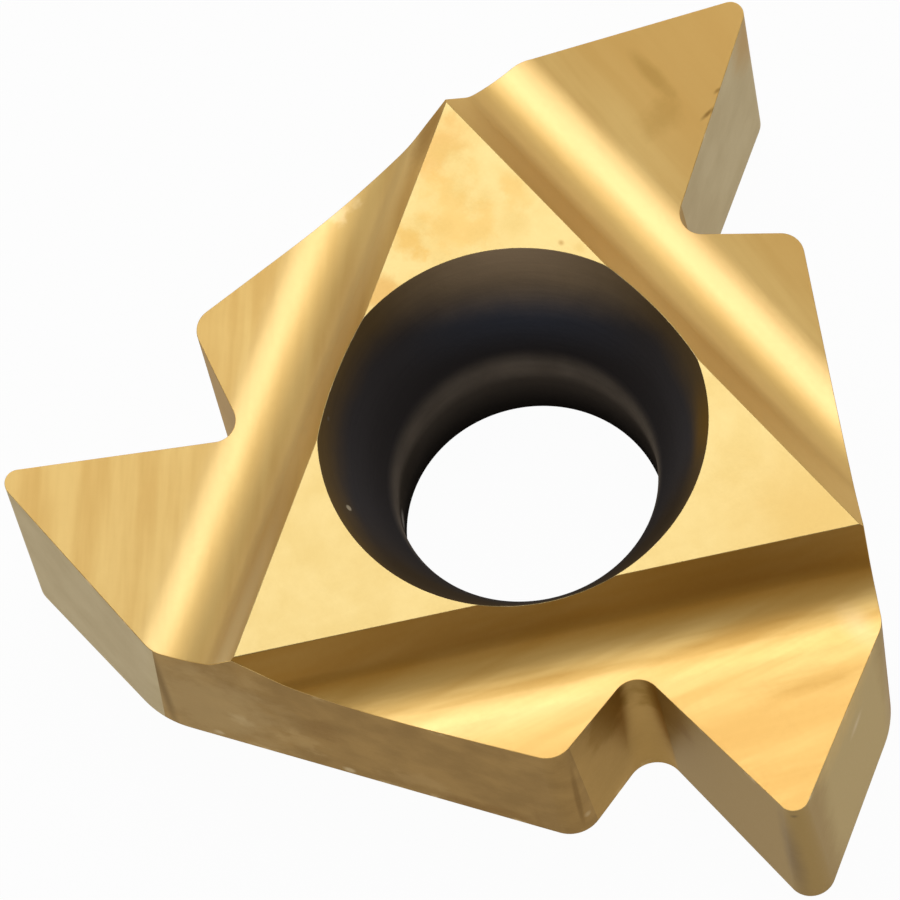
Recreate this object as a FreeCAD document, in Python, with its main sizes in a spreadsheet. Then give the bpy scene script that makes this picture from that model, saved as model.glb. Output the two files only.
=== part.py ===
"""Laydown threading insert with three V teeth, modelled as a parametric document.

The frame is right-handed and in millimetres. The origin is the bore axis on the flat base, +Z runs up
the bore to the clamping face, and +Y is the axis of the first tooth.
"""
import FreeCAD, Part
import math
import os

import Sketcher

NODE = "threading_insert"
TEETH = 3
# Two places closer than this are one, in millimetres
TOUCH = 1e-4

# Driving dimensions: alias, value, meaning
DIMENSIONS = [
    ("inscribed_circle", 9.525, "diameter of the circle that touches the three long sides"),
    ("thickness", 3.6, "height of the clamping platform over the base"),
    ("tip_reach", 6.14, "from the middle of a long side, along it, to the sharp tooth tip"),
    ("tooth_angle", 60.0, "angle between the two flanks of a tooth"),
    ("notch_depth", 3.28, "from the sharp tooth tip down to the sharp root, along the tooth axis"),
    ("back_angle", 46.0, "angle between the tooth axis and the back wall of the notch"),
    ("tip_radius_top", 0.22, "nose radius of the tooth at the cutting edge"),
    ("tip_radius_base", 0.36, "nose radius of the tooth at the base"),
    ("root_radius_top", 0.34, "radius in the notch root at the cutting edge"),
    ("root_radius_base", 0.44, "radius in the notch root at the base"),
    ("shoulder_radius_top", 0.38, "radius between the notch's back wall and the long side, at the top"),
    ("shoulder_radius_base", 0.5, "the same at the base"),
    ("corner_radius_top", 0.3, "radius between the long side and the next tooth's flank, at the top"),
    ("corner_radius_base", 1.6, "the same at the base"),
    ("side_relief", 2.5, "lean of each long side, inwards to the base"),
    ("platform_width", 2.72, "from the bore axis to each edge of the clamping platform"),
    ("wall_angle", 50.0, "slope of the groove wall under the platform edge"),
    ("heel_radius", 0.4, "radius at the foot of the groove wall"),
    ("groove_radius", 2.0, "radius of the groove's wide hollow, which runs out into the rake face"),
    ("groove_middle", 3.92, "from the bore axis to the lowest line of the groove"),
    ("rake_angle", 11.0, "rise of the rake face towards the tooth tip"),
    ("tip_drop", 0.05, "how far the cutting tip lies under the platform"),
    ("bore_diameter", 3.9, "screw bore"),
    ("rim_diameter", 5.8, "mouth of the screw seat, at the platform"),
    ("seat_angle", 52.0, "included angle of the conical screw seat"),
    ("throat_radius", 1.0, "radius between the screw seat and the bore"),
    ("overrun", 1.0, "how far the cutting profiles run past the blank"),
]

document = FreeCAD.newDocument("ThreadingInsert")


def add_sheet():
    """The spreadsheet of driving dimensions, with the places that follow from them."""
    sheet = document.addObject("Spreadsheet::Sheet", "Sizes")
    row = 1
    for alias, value, meaning in DIMENSIONS:
        sheet.set(f"A{row}", meaning)
        sheet.set(f"B{row}", str(value))
        sheet.setAlias(f"B{row}", alias)
        row += 1
    derived = [
        ("side_distance", "=inscribed_circle / 2", "from the bore axis to a long side"),
        ("tip_across", "=side_distance * 0.5 - tip_reach * sin(60 deg)", "sharp tip, across the tooth axis"),
        ("tip_height", "=side_distance * sin(60 deg) + tip_reach * 0.5", "sharp tip, along the tooth axis"),
        ("relief_width", "=thickness * tan(side_relief * 1 deg)", "lean of a long side over the thickness"),
        ("outer_reach", "=inscribed_circle + overrun", "past every corner of the blank"),
        ("cut_top", "=thickness + overrun", "above the platform"),
    ]
    for alias, formula, meaning in derived:
        sheet.set(f"A{row}", meaning)
        sheet.set(f"B{row}", formula)
        sheet.setAlias(f"B{row}", alias)
        row += 1
    document.recompute()
    return sheet


sizes = add_sheet()


def size(alias):
    """Value of a named size, in millimetres or degrees."""
    return float(getattr(sizes, alias))


def point(across, up):
    """Point in a sketch plane."""
    return FreeCAD.Vector(across, up, 0)


def meet(first, first_angle, second, second_angle):
    """Point where two lines meet, each given by a point and an angle in degrees."""
    a = math.radians(first_angle)
    b = math.radians(second_angle)
    gap_x = second.x - first.x
    gap_y = second.y - first.y
    along = (gap_x * math.sin(b) - gap_y * math.cos(b)) / math.sin(b - a)
    return point(first.x + along * math.cos(a), first.y + along * math.sin(a))


class Profile:
    """Closed outline in a sketch, of straight runs and arcs."""

    def __init__(self, body, name, plane):
        self.sketch = body.newObject("Sketcher::SketchObject", name)
        self.sketch.AttachmentSupport = [(origin_plane(body, plane), "")]
        self.sketch.MapMode = "FlatFace"

    def bind(self, constraint, formula):
        """Adds a constraint and ties its value to a formula of named sizes."""
        index = self.sketch.addConstraint(constraint)
        self.sketch.setExpression(f"Constraints[{index}]", formula)

    def trace(self, joints, bends, smooth):
        """Draws a closed loop of runs from joint to joint.

        bends maps the number of a run that is an arc to a place on it. smooth has the numbers of the joints
        where there is no kink.
        """
        count = len(joints)
        begins = []
        self.runs = []
        for number, start in enumerate(joints):
            end = joints[(number + 1) % count]
            shape = Part.Arc(start, bends[number], end) if number in bends else Part.LineSegment(start, end)
            run = self.sketch.addGeometry(shape, False)
            forward = self.sketch.getPoint(run, 1).distanceToPoint(start) < TOUCH
            self.runs.append(run)
            begins.append(1 if forward else 2)
        for number, run in enumerate(self.runs):
            kind = "Tangent" if number in smooth else "Coincident"
            before = number - 1
            ended = 3 - begins[before]
            self.sketch.addConstraint(Sketcher.Constraint(kind, self.runs[before], ended, run, begins[number]))

    def draw(self, corners, radii=None):
        """Draws straight runs through the corners. radii maps a corner's number to its radius alias."""
        radii = radii or {}
        joints = []
        bends = {}
        smooth = []
        straight = []
        for number, corner in enumerate(corners):
            if number in radii:
                before = (corners[number - 1] - corner).normalize()
                after = (corners[(number + 1) % len(corners)] - corner).normalize()
                half = before.getAngle(after) / 2
                radius = size(radii[number])
                centre = corner + (before + after).normalize() * (radius / math.sin(half))
                bends[len(joints)] = centre + (corner - centre).normalize() * radius
                smooth += [len(joints), len(joints) + 1]
                joints.append(corner + before * (radius / math.tan(half)))
                joints.append(corner + after * (radius / math.tan(half)))
            else:
                joints.append(corner)
            straight.append(len(joints) - 1)
        self.trace(joints, bends, smooth)
        for run, alias in zip(bends, radii.values()):
            self.round(run, alias)
        self.runs = [self.runs[number] for number in straight]

    def round(self, run, alias):
        """Fixes the radius of a run that is an arc."""
        self.bind(Sketcher.Constraint("Radius", self.runs[run], size(alias)), f"Sizes.{alias}")

    def centre(self, run, across):
        """Fixes how far across the sketch the centre of a run that is an arc lies."""
        place = self.sketch.getPoint(self.runs[run], 3)
        self.bind(Sketcher.Constraint("DistanceX", -1, 1, self.runs[run], 3, place.x), across)

    def mark(self, place, runs, across, up):
        """Fixes a construction point that the given runs, made longer, pass through."""
        marked = self.sketch.addGeometry(Part.Point(place), True)
        for run in runs:
            self.sketch.addConstraint(Sketcher.Constraint("PointOnObject", marked, 1, self.runs[run]))
        if across:
            self.bind(Sketcher.Constraint("DistanceX", -1, 1, marked, 1, place.x), across)
        if up:
            self.bind(Sketcher.Constraint("DistanceY", -1, 1, marked, 1, place.y), up)

    def corner(self, number, across=None, up=None):
        """Fixes where the run that starts at a plain corner starts."""
        place = self.sketch.getPoint(self.runs[number], 1)
        if across:
            self.bind(Sketcher.Constraint("DistanceX", -1, 1, self.runs[number], 1, place.x), across)
        if up:
            self.bind(Sketcher.Constraint("DistanceY", -1, 1, self.runs[number], 1, place.y), up)

    def level(self, *runs):
        """Keeps runs parallel to the sketch's first axis."""
        for run in runs:
            self.sketch.addConstraint(Sketcher.Constraint("Horizontal", self.runs[run]))

    def upright(self, *runs):
        """Keeps runs parallel to the sketch's second axis."""
        for run in runs:
            self.sketch.addConstraint(Sketcher.Constraint("Vertical", self.runs[run]))

    def turn(self, run, formula):
        """Fixes the direction of a run, as an angle from the sketch's first axis."""
        start = self.sketch.getPoint(self.runs[run], 1)
        end = self.sketch.getPoint(self.runs[run], 2)
        angle = math.atan2(end.y - start.y, end.x - start.x)
        self.bind(Sketcher.Constraint("Angle", self.runs[run], angle), formula)

    def close(self):
        """Solves the sketch and checks that nothing in it is free or in conflict."""
        status = self.sketch.solve()
        if status != 0:
            raise RuntimeError(f"{self.sketch.Name} does not solve: {status}")
        return self.sketch


def origin_plane(body, role):
    """One of the origin planes or axes of a body."""
    for feature in body.Origin.OriginFeatures:
        if feature.Role == role:
            return feature
    raise RuntimeError(f"{body.Name} has no {role}")


def turn_round(body, name, feature):
    """Repeats a cut at each tooth, about the bore axis."""
    pattern = body.newObject("PartDesign::PolarPattern", name)
    pattern.Originals = [feature]
    pattern.Axis = (origin_plane(body, "Z_Axis"), [""])
    pattern.Angle = 360
    pattern.Occurrences = TEETH
    body.Tip = pattern
    document.recompute()
    return pattern


def cut_through(body, name, sketch):
    """Cuts a sketch's profile out of the body, both ways from its plane."""
    pocket = body.newObject("PartDesign::Pocket", name)
    pocket.Profile = sketch
    pocket.Type = "ThroughAll"
    pocket.SideType = "Symmetric"
    document.recompute()
    return pocket


def sharp_tip():
    """Plan position of the first tooth's tip before its nose is rounded."""
    return point(size("tip_across"), size("tip_height"))


def sharp_root():
    """Plan position of the first notch's root before it is rounded."""
    tip = sharp_tip()
    across = size("notch_depth") * math.tan(math.radians(size("tooth_angle") / 2))
    return point(tip.x + across, tip.y - size("notch_depth"))


def add_blank(body):
    """Triangular blank about the inscribed circle, with one long side facing -X."""
    side = size("side_distance")
    corners = []
    for number in range(TEETH):
        angle = math.radians(360 / TEETH * number)
        corners.append(point(2 * side * math.cos(angle), 2 * side * math.sin(angle)))
    outline = Profile(body, "BlankOutline", "XY_Plane")
    outline.draw(corners)
    outline.upright(1)
    outline.corner(0, "2 * Sizes.side_distance", "0 mm")
    outline.corner(1, "-Sizes.side_distance", "Sizes.side_distance * sqrt(3)")
    outline.corner(2, None, "-Sizes.side_distance * sqrt(3)")
    blank = body.newObject("PartDesign::Pad", "Blank")
    blank.Profile = outline.close()
    blank.setExpression("Length", "Sizes.thickness")
    document.recompute()
    return blank


def add_relief(body):
    """Leans each long side inwards to the base. The lean ends inside the notch, short of the tip."""
    side = size("side_distance")
    high = size("thickness")
    outer = size("outer_reach")
    foot = point(size("relief_width") - side, 0)
    wedge = Profile(body, "ReliefWedge", "XZ_Plane")
    wedge.draw([point(-side, high), foot, point(-outer, 0), point(-outer, high)])
    wedge.level(1, 3)
    wedge.upright(2)
    wedge.corner(0, "-Sizes.side_distance", "Sizes.thickness")
    wedge.corner(1, "Sizes.relief_width - Sizes.side_distance", "0 mm")
    wedge.corner(2, "-Sizes.outer_reach")
    relief = cut_through(body, "Relief", wedge.close())
    relief.SideType = "Two sides"
    relief.Type2 = "Length"
    relief.setExpression("Length2", "Sizes.tip_reach - Sizes.notch_depth / 2")
    document.recompute()
    return turn_round(body, "Reliefs", relief)


def add_notches(body):
    """Grinds the two flanks of each tooth and the back wall of its notch.

    The profile runs up the outer flank from past the blank to the tip, down the inner flank to the
    notch root, up the back wall and out past the blank again.
    """
    half_tooth = size("tooth_angle") / 2
    outer = size("outer_reach")
    flank_end = meet(sharp_tip(), 90 - half_tooth, point(-outer, 0), 90)
    wall_end = meet(sharp_root(), 90 - size("back_angle"), point(0, outer), 0)
    outline = Profile(body, "NotchOutline", "XY_Plane")
    outline.draw([flank_end, sharp_tip(), sharp_root(), wall_end, point(-outer, outer)])
    outline.turn(0, "(90 - Sizes.tooth_angle / 2) * 1 deg")
    outline.turn(1, "(Sizes.tooth_angle / 2 - 90) * 1 deg")
    outline.turn(2, "(90 - Sizes.back_angle) * 1 deg")
    outline.corner(1, "Sizes.tip_across", "Sizes.tip_height")
    outline.corner(2, None, "Sizes.tip_height - Sizes.notch_depth")
    outline.level(3)
    outline.upright(4)
    outline.corner(4, "-Sizes.outer_reach", "Sizes.outer_reach")
    return turn_round(body, "Notches", cut_through(body, "Notch", outline.close()))


def upright_edge(shape, place):
    """Number of the edge that stands on a plan position of the base and runs up to the top."""
    high = size("thickness")
    for number, edge in enumerate(shape.Edges, 1):
        feet = [end.Point for end in edge.Vertexes if abs(end.Z) < TOUCH]
        heads = [end.Point for end in edge.Vertexes if abs(end.Z - high) < TOUCH]
        if len(feet) == 1 and len(heads) == 1 and (feet[0] - place).Length < TOUCH:
            return number
    raise RuntimeError(f"no upright edge at {place}")


def round_corners(body):
    """Rounds the four upright edges of each tooth. Every round widens towards the base."""
    foot = size("side_distance") - size("relief_width")
    half_tooth = size("tooth_angle") / 2
    right_side = point(foot * math.cos(math.radians(60)), foot * math.sin(math.radians(60)))
    places = {
        "tip": sharp_tip(),
        "root": sharp_root(),
        "shoulder": meet(sharp_root(), 90 - size("back_angle"), right_side, -30),
        "corner": meet(sharp_tip(), 90 - half_tooth, point(-foot, 0), 90),
    }
    edges = []
    for name, place in places.items():
        for tooth in range(TEETH):
            turned = FreeCAD.Rotation(FreeCAD.Vector(0, 0, 1), 360 / TEETH * tooth).multVec(place)
            number = upright_edge(body.Shape, turned)
            radii = [size(f"{name}_radius_base"), size(f"{name}_radius_top")]
            if body.Shape.Edges[number - 1].Vertexes[0].Z > TOUCH:
                radii.reverse()
            edges.append((number, radii[0], radii[1]))
    rounded = document.addObject("Part::Fillet", "RoundedBlank")
    rounded.Base = body
    rounded.Edges = edges
    document.recompute()
    return rounded


def slope(angle):
    """Unit vector in a sketch plane at an angle in degrees from its first axis."""
    return point(math.cos(math.radians(angle)), math.sin(math.radians(angle)))


def add_grooves(body):
    """Grinds the chip groove across each tooth.

    Its section falls from the platform edge as a steep wall and turns at the heel into a wide hollow, which
    runs out into the rising rake face.
    """
    high = size("thickness")
    top = size("cut_top")
    outer = size("outer_reach")
    wall = size("wall_angle")
    rake = size("rake_angle")
    heel = size("heel_radius")
    hollow = size("groove_radius")
    platform_edge = point(size("platform_width"), high)
    cutting_tip = point(size("tip_height"), high - size("tip_drop"))
    wall_top = meet(platform_edge, -wall, point(0, top), 0)
    rake_end = meet(cutting_tip, rake, point(outer, 0), 90)
    # The hollow touches the rake line where both slope alike
    above_touch = point(size("groove_middle") + hollow * math.sin(math.radians(rake)), 0)
    rake_start = meet(cutting_tip, rake, above_touch, 90)
    hollow_centre = rake_start + slope(rake + 90) * hollow
    # The heel touches the wall, and the hollow from inside
    beside = platform_edge + slope(90 - wall) * heel
    gap = beside - hollow_centre
    reach = gap.dot(slope(-wall))
    down = math.sqrt(reach**2 - gap.Length**2 + (hollow - heel) ** 2) - reach
    heel_centre = beside + slope(-wall) * down
    wall_foot = heel_centre - slope(90 - wall) * heel
    outward = (heel_centre - hollow_centre).normalize()
    hollow_start = heel_centre + outward * heel
    heel_middle = heel_centre + (outward - slope(90 - wall)).normalize() * heel
    hollow_bottom = hollow_centre - point(0, hollow)
    section = Profile(body, "GrooveSection", "YZ_Plane")
    section.trace(
        [wall_top, wall_foot, hollow_start, rake_start, rake_end, point(outer, top)],
        {1: heel_middle, 2: hollow_bottom},
        [1, 2, 3],
    )
    section.turn(0, "-Sizes.wall_angle * 1 deg")
    section.round(1, "heel_radius")
    section.round(2, "groove_radius")
    section.centre(2, "Sizes.groove_middle")
    section.turn(3, "Sizes.rake_angle * 1 deg")
    section.mark(platform_edge, (0,), "Sizes.platform_width", "Sizes.thickness")
    section.mark(cutting_tip, (3,), "Sizes.tip_height", "Sizes.thickness - Sizes.tip_drop")
    section.upright(4)
    section.level(5)
    section.corner(5, "Sizes.outer_reach", "Sizes.cut_top")
    return turn_round(body, "Grooves", cut_through(body, "Groove", section.close()))


def add_screw_hole(body):
    """Turns the bore and the conical screw seat, blended by the throat radius."""
    high = size("thickness")
    top = size("cut_top")
    bore = size("bore_diameter") / 2
    lean = 90 - size("seat_angle") / 2
    rim = point(size("rim_diameter") / 2, high)
    throat = meet(rim, lean, point(bore, 0), 90)
    seat_top = meet(rim, lean, point(0, top), 0)
    profile = Profile(body, "HoleProfile", "XZ_Plane")
    profile.draw([point(0, 0), point(bore, 0), throat, seat_top, point(0, top)], {2: "throat_radius"})
    profile.level(0, 3)
    profile.upright(1, 4)
    profile.corner(0, "0 mm", "0 mm")
    profile.corner(1, "Sizes.bore_diameter / 2")
    profile.corner(4, None, "Sizes.cut_top")
    profile.turn(2, "(90 - Sizes.seat_angle / 2) * 1 deg")
    profile.mark(rim, (2,), "Sizes.rim_diameter / 2", "Sizes.thickness")
    sketch = profile.close()
    hole = body.newObject("PartDesign::Groove", "ScrewHole")
    hole.Profile = sketch
    hole.ReferenceAxis = (sketch, ["V_Axis"])
    hole.Angle = 360
    body.Tip = hole
    document.recompute()
    return hole


def check_cut(name, before, after):
    """Stops the build where a cut took nothing away."""
    if after.Shape.Volume > before.Shape.Volume - 1e-3:
        raise RuntimeError(f"{name} cut nothing")
    print(f"{name}: {before.Shape.Volume:.3f} to {after.Shape.Volume:.3f} mm3")


def check_document(body):
    """Stops the build where an object failed or the insert is not one valid solid."""
    for item in document.Objects:
        if "Invalid" in item.State or "Error" in item.State:
            raise RuntimeError(f"{item.Name} failed: {item.State}")
    shape = body.Shape
    if shape.isNull() or not shape.isValid() or len(shape.Solids) != 1:
        raise RuntimeError(f"{body.Label} is not one valid solid")


# Ground blank: the three-toothed outline, standing on its base
ground = document.addObject("PartDesign::Body", "GroundBlank")
blank = add_blank(ground)
reliefs = add_relief(ground)
check_cut("long side reliefs", blank, reliefs)
notches = add_notches(ground)
check_cut("notches", reliefs, notches)
rounded = round_corners(ground)
check_cut("upright rounds", notches, rounded)

# Insert: the rounded blank with its chip grooves and its screw hole
insert = document.addObject("PartDesign::Body", "ThreadingInsert")
insert.Label = NODE
insert.BaseFeature = rounded
document.recompute()
grooves = add_grooves(insert)
check_cut("chip grooves", rounded, grooves)
hole = add_screw_hole(insert)
check_cut("screw hole", grooves, hole)

document.recompute()
check_document(insert)
os.makedirs("parts", exist_ok=True)
insert.Shape.exportStep(f"parts/{NODE}.step")
box = insert.Shape.optimalBoundingBox(False)
print(f"{NODE}: volume {insert.Shape.Volume:.3f} mm3, box {box.XLength:.3f} {box.YLength:.3f} {box.ZLength:.3f}")
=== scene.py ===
"""Looks of a laydown threading insert: gold coated carbide with three V teeth, on a pale studio floor.

The row frame is right-handed and in metres. Its origin is on the bore axis at the flat base, +Z runs up
the bore to the clamping platform, and +Y is the axis of the first tooth. The insert's own sizes are in
millimetres, as on a drawing, and become metres when its mesh is made.
"""
import logging
import math
from dataclasses import dataclass, field
from enum import IntEnum
from typing import Callable, Sequence

import bpy
import numpy as np
from mathutils import Matrix, Vector
from mathutils.geometry import delaunay_2d_cdt


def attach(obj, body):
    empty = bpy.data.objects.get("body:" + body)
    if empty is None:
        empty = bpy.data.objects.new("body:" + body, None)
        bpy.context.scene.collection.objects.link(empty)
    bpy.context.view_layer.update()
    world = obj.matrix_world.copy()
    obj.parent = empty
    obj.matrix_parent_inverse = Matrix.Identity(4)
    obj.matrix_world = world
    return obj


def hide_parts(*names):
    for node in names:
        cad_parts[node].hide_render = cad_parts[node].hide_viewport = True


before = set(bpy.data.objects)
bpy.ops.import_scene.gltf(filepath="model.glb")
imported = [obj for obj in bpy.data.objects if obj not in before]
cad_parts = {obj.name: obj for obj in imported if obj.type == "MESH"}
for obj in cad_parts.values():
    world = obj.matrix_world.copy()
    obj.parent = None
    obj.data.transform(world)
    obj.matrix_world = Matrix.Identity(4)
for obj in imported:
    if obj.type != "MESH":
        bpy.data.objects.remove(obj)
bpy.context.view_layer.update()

log = logging.getLogger("threading_insert")

NODE = "threading_insert"
BODY = "root"
TEETH = 3
METRES = 0.001
# Longest distance between the rails along a straight wall, in millimetres
RAIL_SPACING = 0.3
# Lines of the mesh along the brink, heel and hollow, and the distance between those on the rake face
BRINK_LINES = 5
HEEL_LINES = 7
HOLLOW_LINES = 15
RAKE_SPACING = 0.5
# Points round the screw hole, before those on the section's lines are added
HOLE_POINTS = 192
# Rounds that settle the height of an edge, and halvings that find where a loop crosses a line
SETTLINGS = 30
HALVINGS = 44
# Points closer than this to a crossing give way to it, as a share of the distance between two points
CROWDED = 0.1
# Closer than these, in millimetres, a point is on a line, two teeth share it, or two points are one
ON_LINE = 1e-7
ON_RIDGE = 1e-5
SHARED = 1e-6
SAME_POINT = 1e-8
# On the ridge between two teeth, distance across a tooth as a multiple of the distance along it
RIDGE_ACROSS = math.sqrt(3)
# Part of the brink's round that still belongs to the platform
BRINK_SHARE = 0.3
# Rings under the honed edge of the sides, over the base and in the bore: depth or height, and wear. Between
# them are rings at shares of the way down.
UNDER_EDGE = ((0.05, 0.3), (0.15, 0.0))
OVER_BASE = ((0.2, 0.0), (0.08, 0.3))
IN_BORE = ((0.9, 0.0), (0.4, 0.0), (0.12, 0.2))
SIDE_SHARES = (0.25, 0.5, 0.75)
CONE_SHARES = (0.2, 0.4, 0.6, 0.8, 1.0)
UNDER_RIM = 0.06
RIM_WEAR = 0.2
BASE_WEAR = 0.6
# Rings on the round between the screw seat and the bore
THROAT_STEPS = 8
# Third part of the chart on the sides and in the hole. On the top it is the number of the tooth.
SIDE_CHART = 5.0
HOLE_CHART = 9.0
# Share of a small round's size by which its middle lies inside the sharp edge
BEND = 1 - math.cos(math.pi / 4)
Colour = tuple[float, float, float]
Socket = bpy.types.NodeSocket
Source = Socket | float | Sequence[float]


class Zone(IntEnum):
    """Surfaces of the insert that have their own finish, numbered as the mesh's material slots."""

    PLATFORM = 0
    GROOVE = 1
    FLANK = 2
    LONG_SIDE = 3
    NOTCH = 4
    SEAT = 5
    BASE = 6


# Sizes and plan geometry


@dataclass(frozen=True)
class InsertSizes:
    """Sizes of the insert in millimetres and degrees. A pair is the size at the base and at the top."""

    inscribed_circle: float = 9.525
    thickness: float = 3.6
    tip_reach: float = 6.14
    tooth_angle: float = 60.0
    notch_depth: float = 3.28
    back_angle: float = 46.0
    tip_radius: tuple[float, float] = (0.36, 0.22)
    root_radius: tuple[float, float] = (0.44, 0.34)
    shoulder_radius: tuple[float, float] = (0.5, 0.38)
    corner_radius: tuple[float, float] = (1.6, 0.3)
    side_relief: float = 2.5
    platform_width: float = 2.72
    wall_angle: float = 50.0
    heel_radius: float = 0.4
    groove_radius: float = 2.0
    groove_middle: float = 3.92
    rake_angle: float = 11.0
    tip_drop: float = 0.05
    bore_diameter: float = 3.9
    rim_diameter: float = 5.8
    seat_angle: float = 52.0
    throat_radius: float = 1.0
    hone: float = 0.008
    platform_edge: float = 0.03
    base_edge: float = 0.03

    @property
    def side_distance(self) -> float:
        """Distance of each long side's top edge from the bore axis."""
        return self.inscribed_circle / 2

    @property
    def sharp_tip(self) -> np.ndarray:
        """Plan position of the first tooth's tip before its nose is rounded.

        Returns:
            The position, across and along the tooth.
        """
        half = math.radians(180.0 / TEETH / 2)
        across = self.side_distance * math.sin(half) - self.tip_reach * math.cos(half)
        along = self.side_distance * math.cos(half) + self.tip_reach * math.sin(half)
        return np.array([across, along])

    @property
    def sharp_root(self) -> np.ndarray:
        """Plan position of the first notch's root before it is rounded."""
        across = self.notch_depth * math.tan(math.radians(self.tooth_angle / 2))
        return self.sharp_tip + np.array([across, -self.notch_depth])


def heading(degrees: float) -> np.ndarray:
    """Unit vector in plan at an angle from +X."""
    angle = math.radians(degrees)
    return np.array([math.cos(angle), math.sin(angle)])


def tooth_axis(tooth: int) -> np.ndarray:
    """Unit vector in plan along a tooth, from the bore outwards."""
    return heading(90.0 - 360.0 / TEETH * tooth)


def tooth_across(tooth: int) -> np.ndarray:
    """Unit vector in plan across a tooth, to the right of its axis."""
    return heading(-360.0 / TEETH * tooth)


TOOTH_AXES = np.array([tooth_axis(tooth) for tooth in range(TEETH)])


def owner_of(places: np.ndarray) -> np.ndarray:
    """Number of the tooth on whose side each plan position lies."""
    return np.argmax(places @ TOOTH_AXES.T, axis=-1)


def is_inside(place: np.ndarray, loop: np.ndarray) -> bool:
    """Tests whether a plan position lies inside a closed loop.

    Args:
        place: The position to test.
        loop: The loop's corners in order, one row each.

    Returns:
        True where the position is inside.
    """
    following = np.roll(loop, -1, axis=0)
    spans = (loop[:, 1] > place[1]) != (following[:, 1] > place[1])
    start, end = loop[spans], following[spans]
    crossing = start[:, 0] + (place[1] - start[:, 1]) * (end[:, 0] - start[:, 0]) / (end[:, 1] - start[:, 1])
    return bool(np.count_nonzero(crossing > place[0]) % 2)


def fill_between(plan: np.ndarray, ties: Sequence[tuple[int, int]], loops: Sequence[int]) -> list[list[int]]:
    """Fills the plan between an outline and a hole with triangles.

    Args:
        plan: Positions of the outline's points, clockwise, of the hole's, counter-clockwise, and of others.
        ties: Pairs of points that the triangles' sides must join.
        loops: How many points the outline and the hole have.

    Returns:
        The triangles' corners, counter-clockwise.
    """
    rims, first = set(), 0
    for count in loops:
        rims |= {(first + number, first + (number + 1) % count) for number in range(count)}
        first += count
    made, _, found, sources, _, _ = delaunay_2d_cdt(
        [Vector(place) for place in plan], list(rims) + list(ties), [], 0, SAME_POINT, True
    )
    if any(len(source) != 1 for source in sources):
        raise RuntimeError("points or lines of the top meet where they should not")
    triangles = [[sources[corner][0] for corner in triangle] for triangle in found]
    sides: dict[tuple[int, int], int] = {}
    for number, triangle in enumerate(triangles):
        for side in range(3):
            sides[(triangle[side], triangle[(side + 1) % 3])] = number
    waiting = [sides[(end, start)] for start, end in rims]
    inside = set(waiting)
    while waiting:
        triangle = triangles[waiting.pop()]
        for side in range(3):
            start, end = triangle[side], triangle[(side + 1) % 3]
            other = sides.get((end, start))
            if other is None or other in inside or (end, start) in rims or (start, end) in rims:
                continue
            inside.add(other)
            waiting.append(other)
    return [triangles[number] for number in sorted(inside)]


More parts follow.
